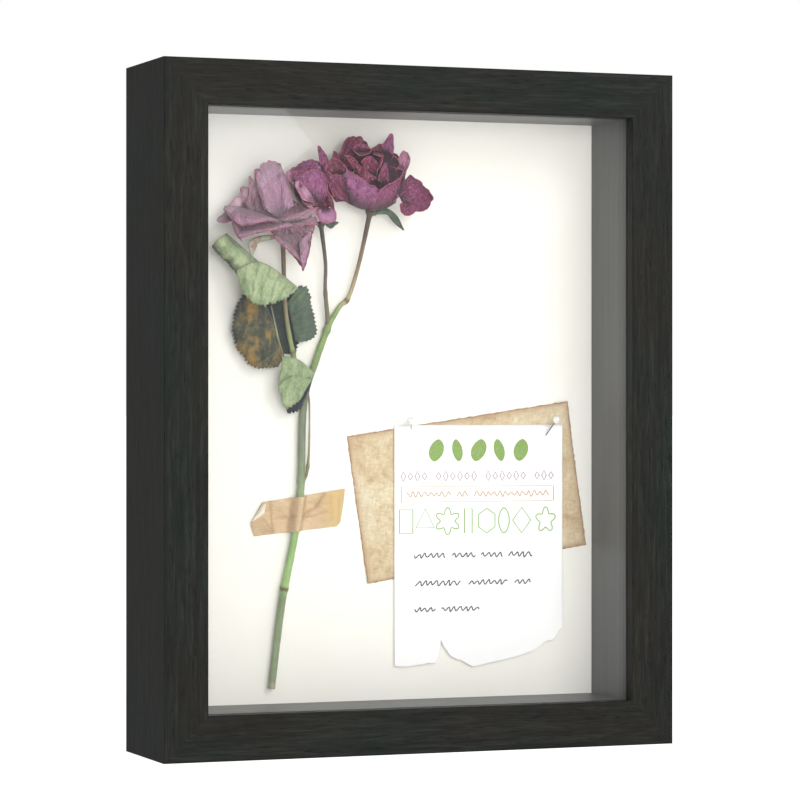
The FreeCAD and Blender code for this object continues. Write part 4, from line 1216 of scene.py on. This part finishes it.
def dashes(start, end, down):
    """Short level dashes from start to end."""
    dash, gap = 0.5, 0.35
    starts = [start + number * (dash + gap) for number in range(int((end - start) / (dash + gap)))]
    return [[(left, down), (left + dash, down)] for left in starts]


def build_marks():
    """Plain shapes and scribbles where the card is printed."""
    leaves = [(21.0, 7.4, 0.2), (31.5, 5.2, -0.15), (42.2, 7.6, 0.25), (52.6, 5.4, -0.2), (63.6, 7.4, 0.15)]
    outlines = [leaf_outline(x, 11.8, width, 10.4, lean) for x, width, lean in leaves]
    mark("mark_leaves", (126, 158, 76), solids=outlines)

    places = [number for number in range(22) if number % 7 != 4]
    ticks = [polygon(4.4 + number * 3.55, 23.8, 2.3, 4.6 - 1.2 * (number % 2), 4) for number in places]
    mark("mark_lozenges", (150, 108, 138), strokes=[(tick, 0.42, True) for tick in ticks])

    left, right, top, bottom = 3.5, 80.3, 28.6, 35.7
    sides = dashes(left, right, top) + dashes(left, right, bottom)
    sides += [[(x, top), (x, bottom)] for x in (left, right)]
    title = [wave(start, end, 32.2, 1.9, 2.9, 11) for start, end in ((6, 28), (31, 37), (40, 78))]
    tan_lines = [(line, 0.34, False) for line in sides] + [(line, 0.42, False) for line in title]
    mark("mark_frame", (188, 150, 104), strokes=tan_lines)

    row = 44.7
    shapes = [
        polygon(5.9, row, 9.4, 15.5, 4, 0.5),
        polygon(15.4, row, 10.4, 11.8, 3),
        flower_outline(26.6, row, 13, 12.6, 6),
        polygon(37.0, row, 5.4, 16, 4, 0.5),
        polygon(46.3, row, 9.6, 11.6, 6),
        leaf_outline(55.0, row, 5.4, 11.8, 0.0),
        polygon(64.0, row, 9.2, 12, 4),
        flower_outline(76.2, row, 10.4, 12.2, 5),
    ]
    mark("mark_outlines", (128, 170, 66), strokes=[(shape, 0.5, True) for shape in shapes])

    words = [
        (60.6, ((10, 25.6), (29, 40.5), (43.5, 54.5), (57.5, 69.5))),
        (73.4, ((10.5, 33), (37.5, 56.5), (60.5, 68.5))),
        (85.6, ((10, 20.5), (23.5, 42.5))),
    ]
    scribbles = []
    for down, spans in words:
        for start, end in spans:
            scribbles.append((wave(start, end, down, 1.7, 2.9, start + down, slant=0.3), 0.55, False))
    mark("mark_scribbles", (58, 58, 62), strokes=scribbles)


# ---------------------------------------------------------------- CAD nodes that keep their shape


def dress_the_frame():
    dress(stained_wood("Z"), "rail_left", "rail_right")
    dress(stained_wood("X"), "rail_top", "rail_bottom")
    dress(lining_wood("Z"), "spacer_left", "spacer_right")
    dress(lining_wood("X"), "spacer_top", "spacer_bottom")
    dress(clear_glass(), "glass_pane")
    dress(hardboard(), "back_panel")
    dress(foam(), "foam_board")
    dress(cream_card(), "backing_sheet")
    dress(clear_bumper(), "wall_bumpers")
    dress(pearl(), "pin_head_left", "pin_head_right")
    zinc = metal("zinc_steel", (196, 198, 200), 0.34, 2.6, 0.5)
    steel = metal("bright_steel", (176, 176, 178), 0.22, 6.0, 0.3)
    buttons = [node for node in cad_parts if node.startswith("turn_button")]
    dress(zinc, *buttons, "sawtooth_hanger_top", "sawtooth_hanger_side")
    dress(steel, "corner_v_nails", "hanger_brads", "pin_needle_left", "pin_needle_right")


# ---------------------------------------------------------------- floor, light and camera


FLOOR_REACH = 30  # metres from the middle of the floor to each side
CAMERA_PLACE = (-0.5532, -1.43675, 0.1589)
CAMERA_TURN = -21.04
LENS = 151.3


def build_floor():
    """A wide, plain, pale floor."""
    corners = [(-1, -1), (1, -1), (1, 1), (-1, 1)]
    mesh = bpy.data.meshes.new("floor")
    mesh.from_pydata([(x * FLOOR_REACH, y * FLOOR_REACH, 0) for x, y in corners], [], [(0, 1, 2, 3)])
    pale = Finish("pale_floor", 0.9, Emission_Strength=0.8, Emission_Color=(1, 1, 1, 1))
    drift = pale.noise(pale.place(), 400, detail=2)
    pale.colour(pale.ramp(drift, (0.3, (244, 244, 243)), (0.7, (249, 249, 248))))
    mesh.materials.append(pale.material)
    floor = bpy.data.objects.new("floor", mesh)
    bpy.context.collection.objects.link(floor)
    floor.visible_glossy = False


def aim(thing, target):
    """Turns a light or a camera towards a point."""
    thing.rotation_euler = (target - thing.location).to_track_quat("-Z", "Y").to_euler()


def softbox(name, place, target, size, power, spin=0.0, for_gloss_only=False, mirrored=True):
    """A rectangular studio light. The pane doesn't reflect one that isn't mirrored."""
    data = bpy.data.lights.new(name, "AREA")
    data.shape = "RECTANGLE"
    data.size, data.size_y = size
    data.energy = power
    lamp = bpy.data.objects.new(name, data)
    lamp.location = place
    aim(lamp, target)
    lamp.rotation_euler.rotate_axis("Z", math.radians(spin))
    lamp.visible_camera = False
    lamp.visible_diffuse = not for_gloss_only
    lamp.visible_glossy = mirrored
    bpy.context.collection.objects.link(lamp)
    return lamp


def build_light():
    """White surroundings, a key light from the upper right, a fill and a glint in the pane."""
    world = bpy.data.worlds.new("studio")
    world.use_nodes = True
    tree = world.node_tree
    seen = tree.nodes["Background"]
    seen.inputs["Color"].default_value = (1, 1, 1, 1)
    seen.inputs["Strength"].default_value = 1.0
    felt = tree.nodes.new("ShaderNodeBackground")
    felt.inputs["Color"].default_value = (0.98, 0.99, 1, 1)
    felt.inputs["Strength"].default_value = 0.42
    path = tree.nodes.new("ShaderNodeLightPath")
    choice = tree.nodes.new("ShaderNodeMixShader")
    tree.links.new(path.outputs["Is Camera Ray"], choice.inputs[0])
    tree.links.new(felt.outputs[0], choice.inputs[1])
    tree.links.new(seen.outputs[0], choice.inputs[2])
    tree.links.new(choice.outputs[0], tree.nodes["World Output"].inputs["Surface"])
    bpy.context.scene.world = world
    middle = (cad_box[0] + cad_box[1]) / 2
    softbox("key", middle + Vector((0.55, -2.1, 1.08)), middle, (1.1, 1.1), 21.5)
    softbox("fill", middle + Vector((-0.45, -2.2, 0.08)), middle, (0.9, 0.9), 32, mirrored=False)
    softbox("window", Vector((0.23, -1.23, 0.38)), Vector((0, 0, 0.2)), (0.2, 0.2), 0.1, spin=40,
            for_gloss_only=True)


def build_camera():
    """Looks in from the left, level, at half the frame's height."""
    data = bpy.data.cameras.new("camera")
    data.sensor_width = 36
    data.lens = LENS
    data.clip_end = 100
    camera = bpy.data.objects.new("camera", data)
    camera.location = CAMERA_PLACE
    camera.rotation_euler = (math.radians(90), 0, math.radians(CAMERA_TURN))
    bpy.context.collection.objects.link(camera)
    bpy.context.scene.camera = camera


def build():
    bpy.context.scene.view_settings.view_transform = "Standard"
    dress_the_frame()
    build_aged_paper()
    build_note_card()
    build_marks()
    build_tape()
    build_stems()
    build_leaves()
    build_blooms()
    build_floor()
    build_light()
    build_camera()


build()
bpy.context.view_layer.update()
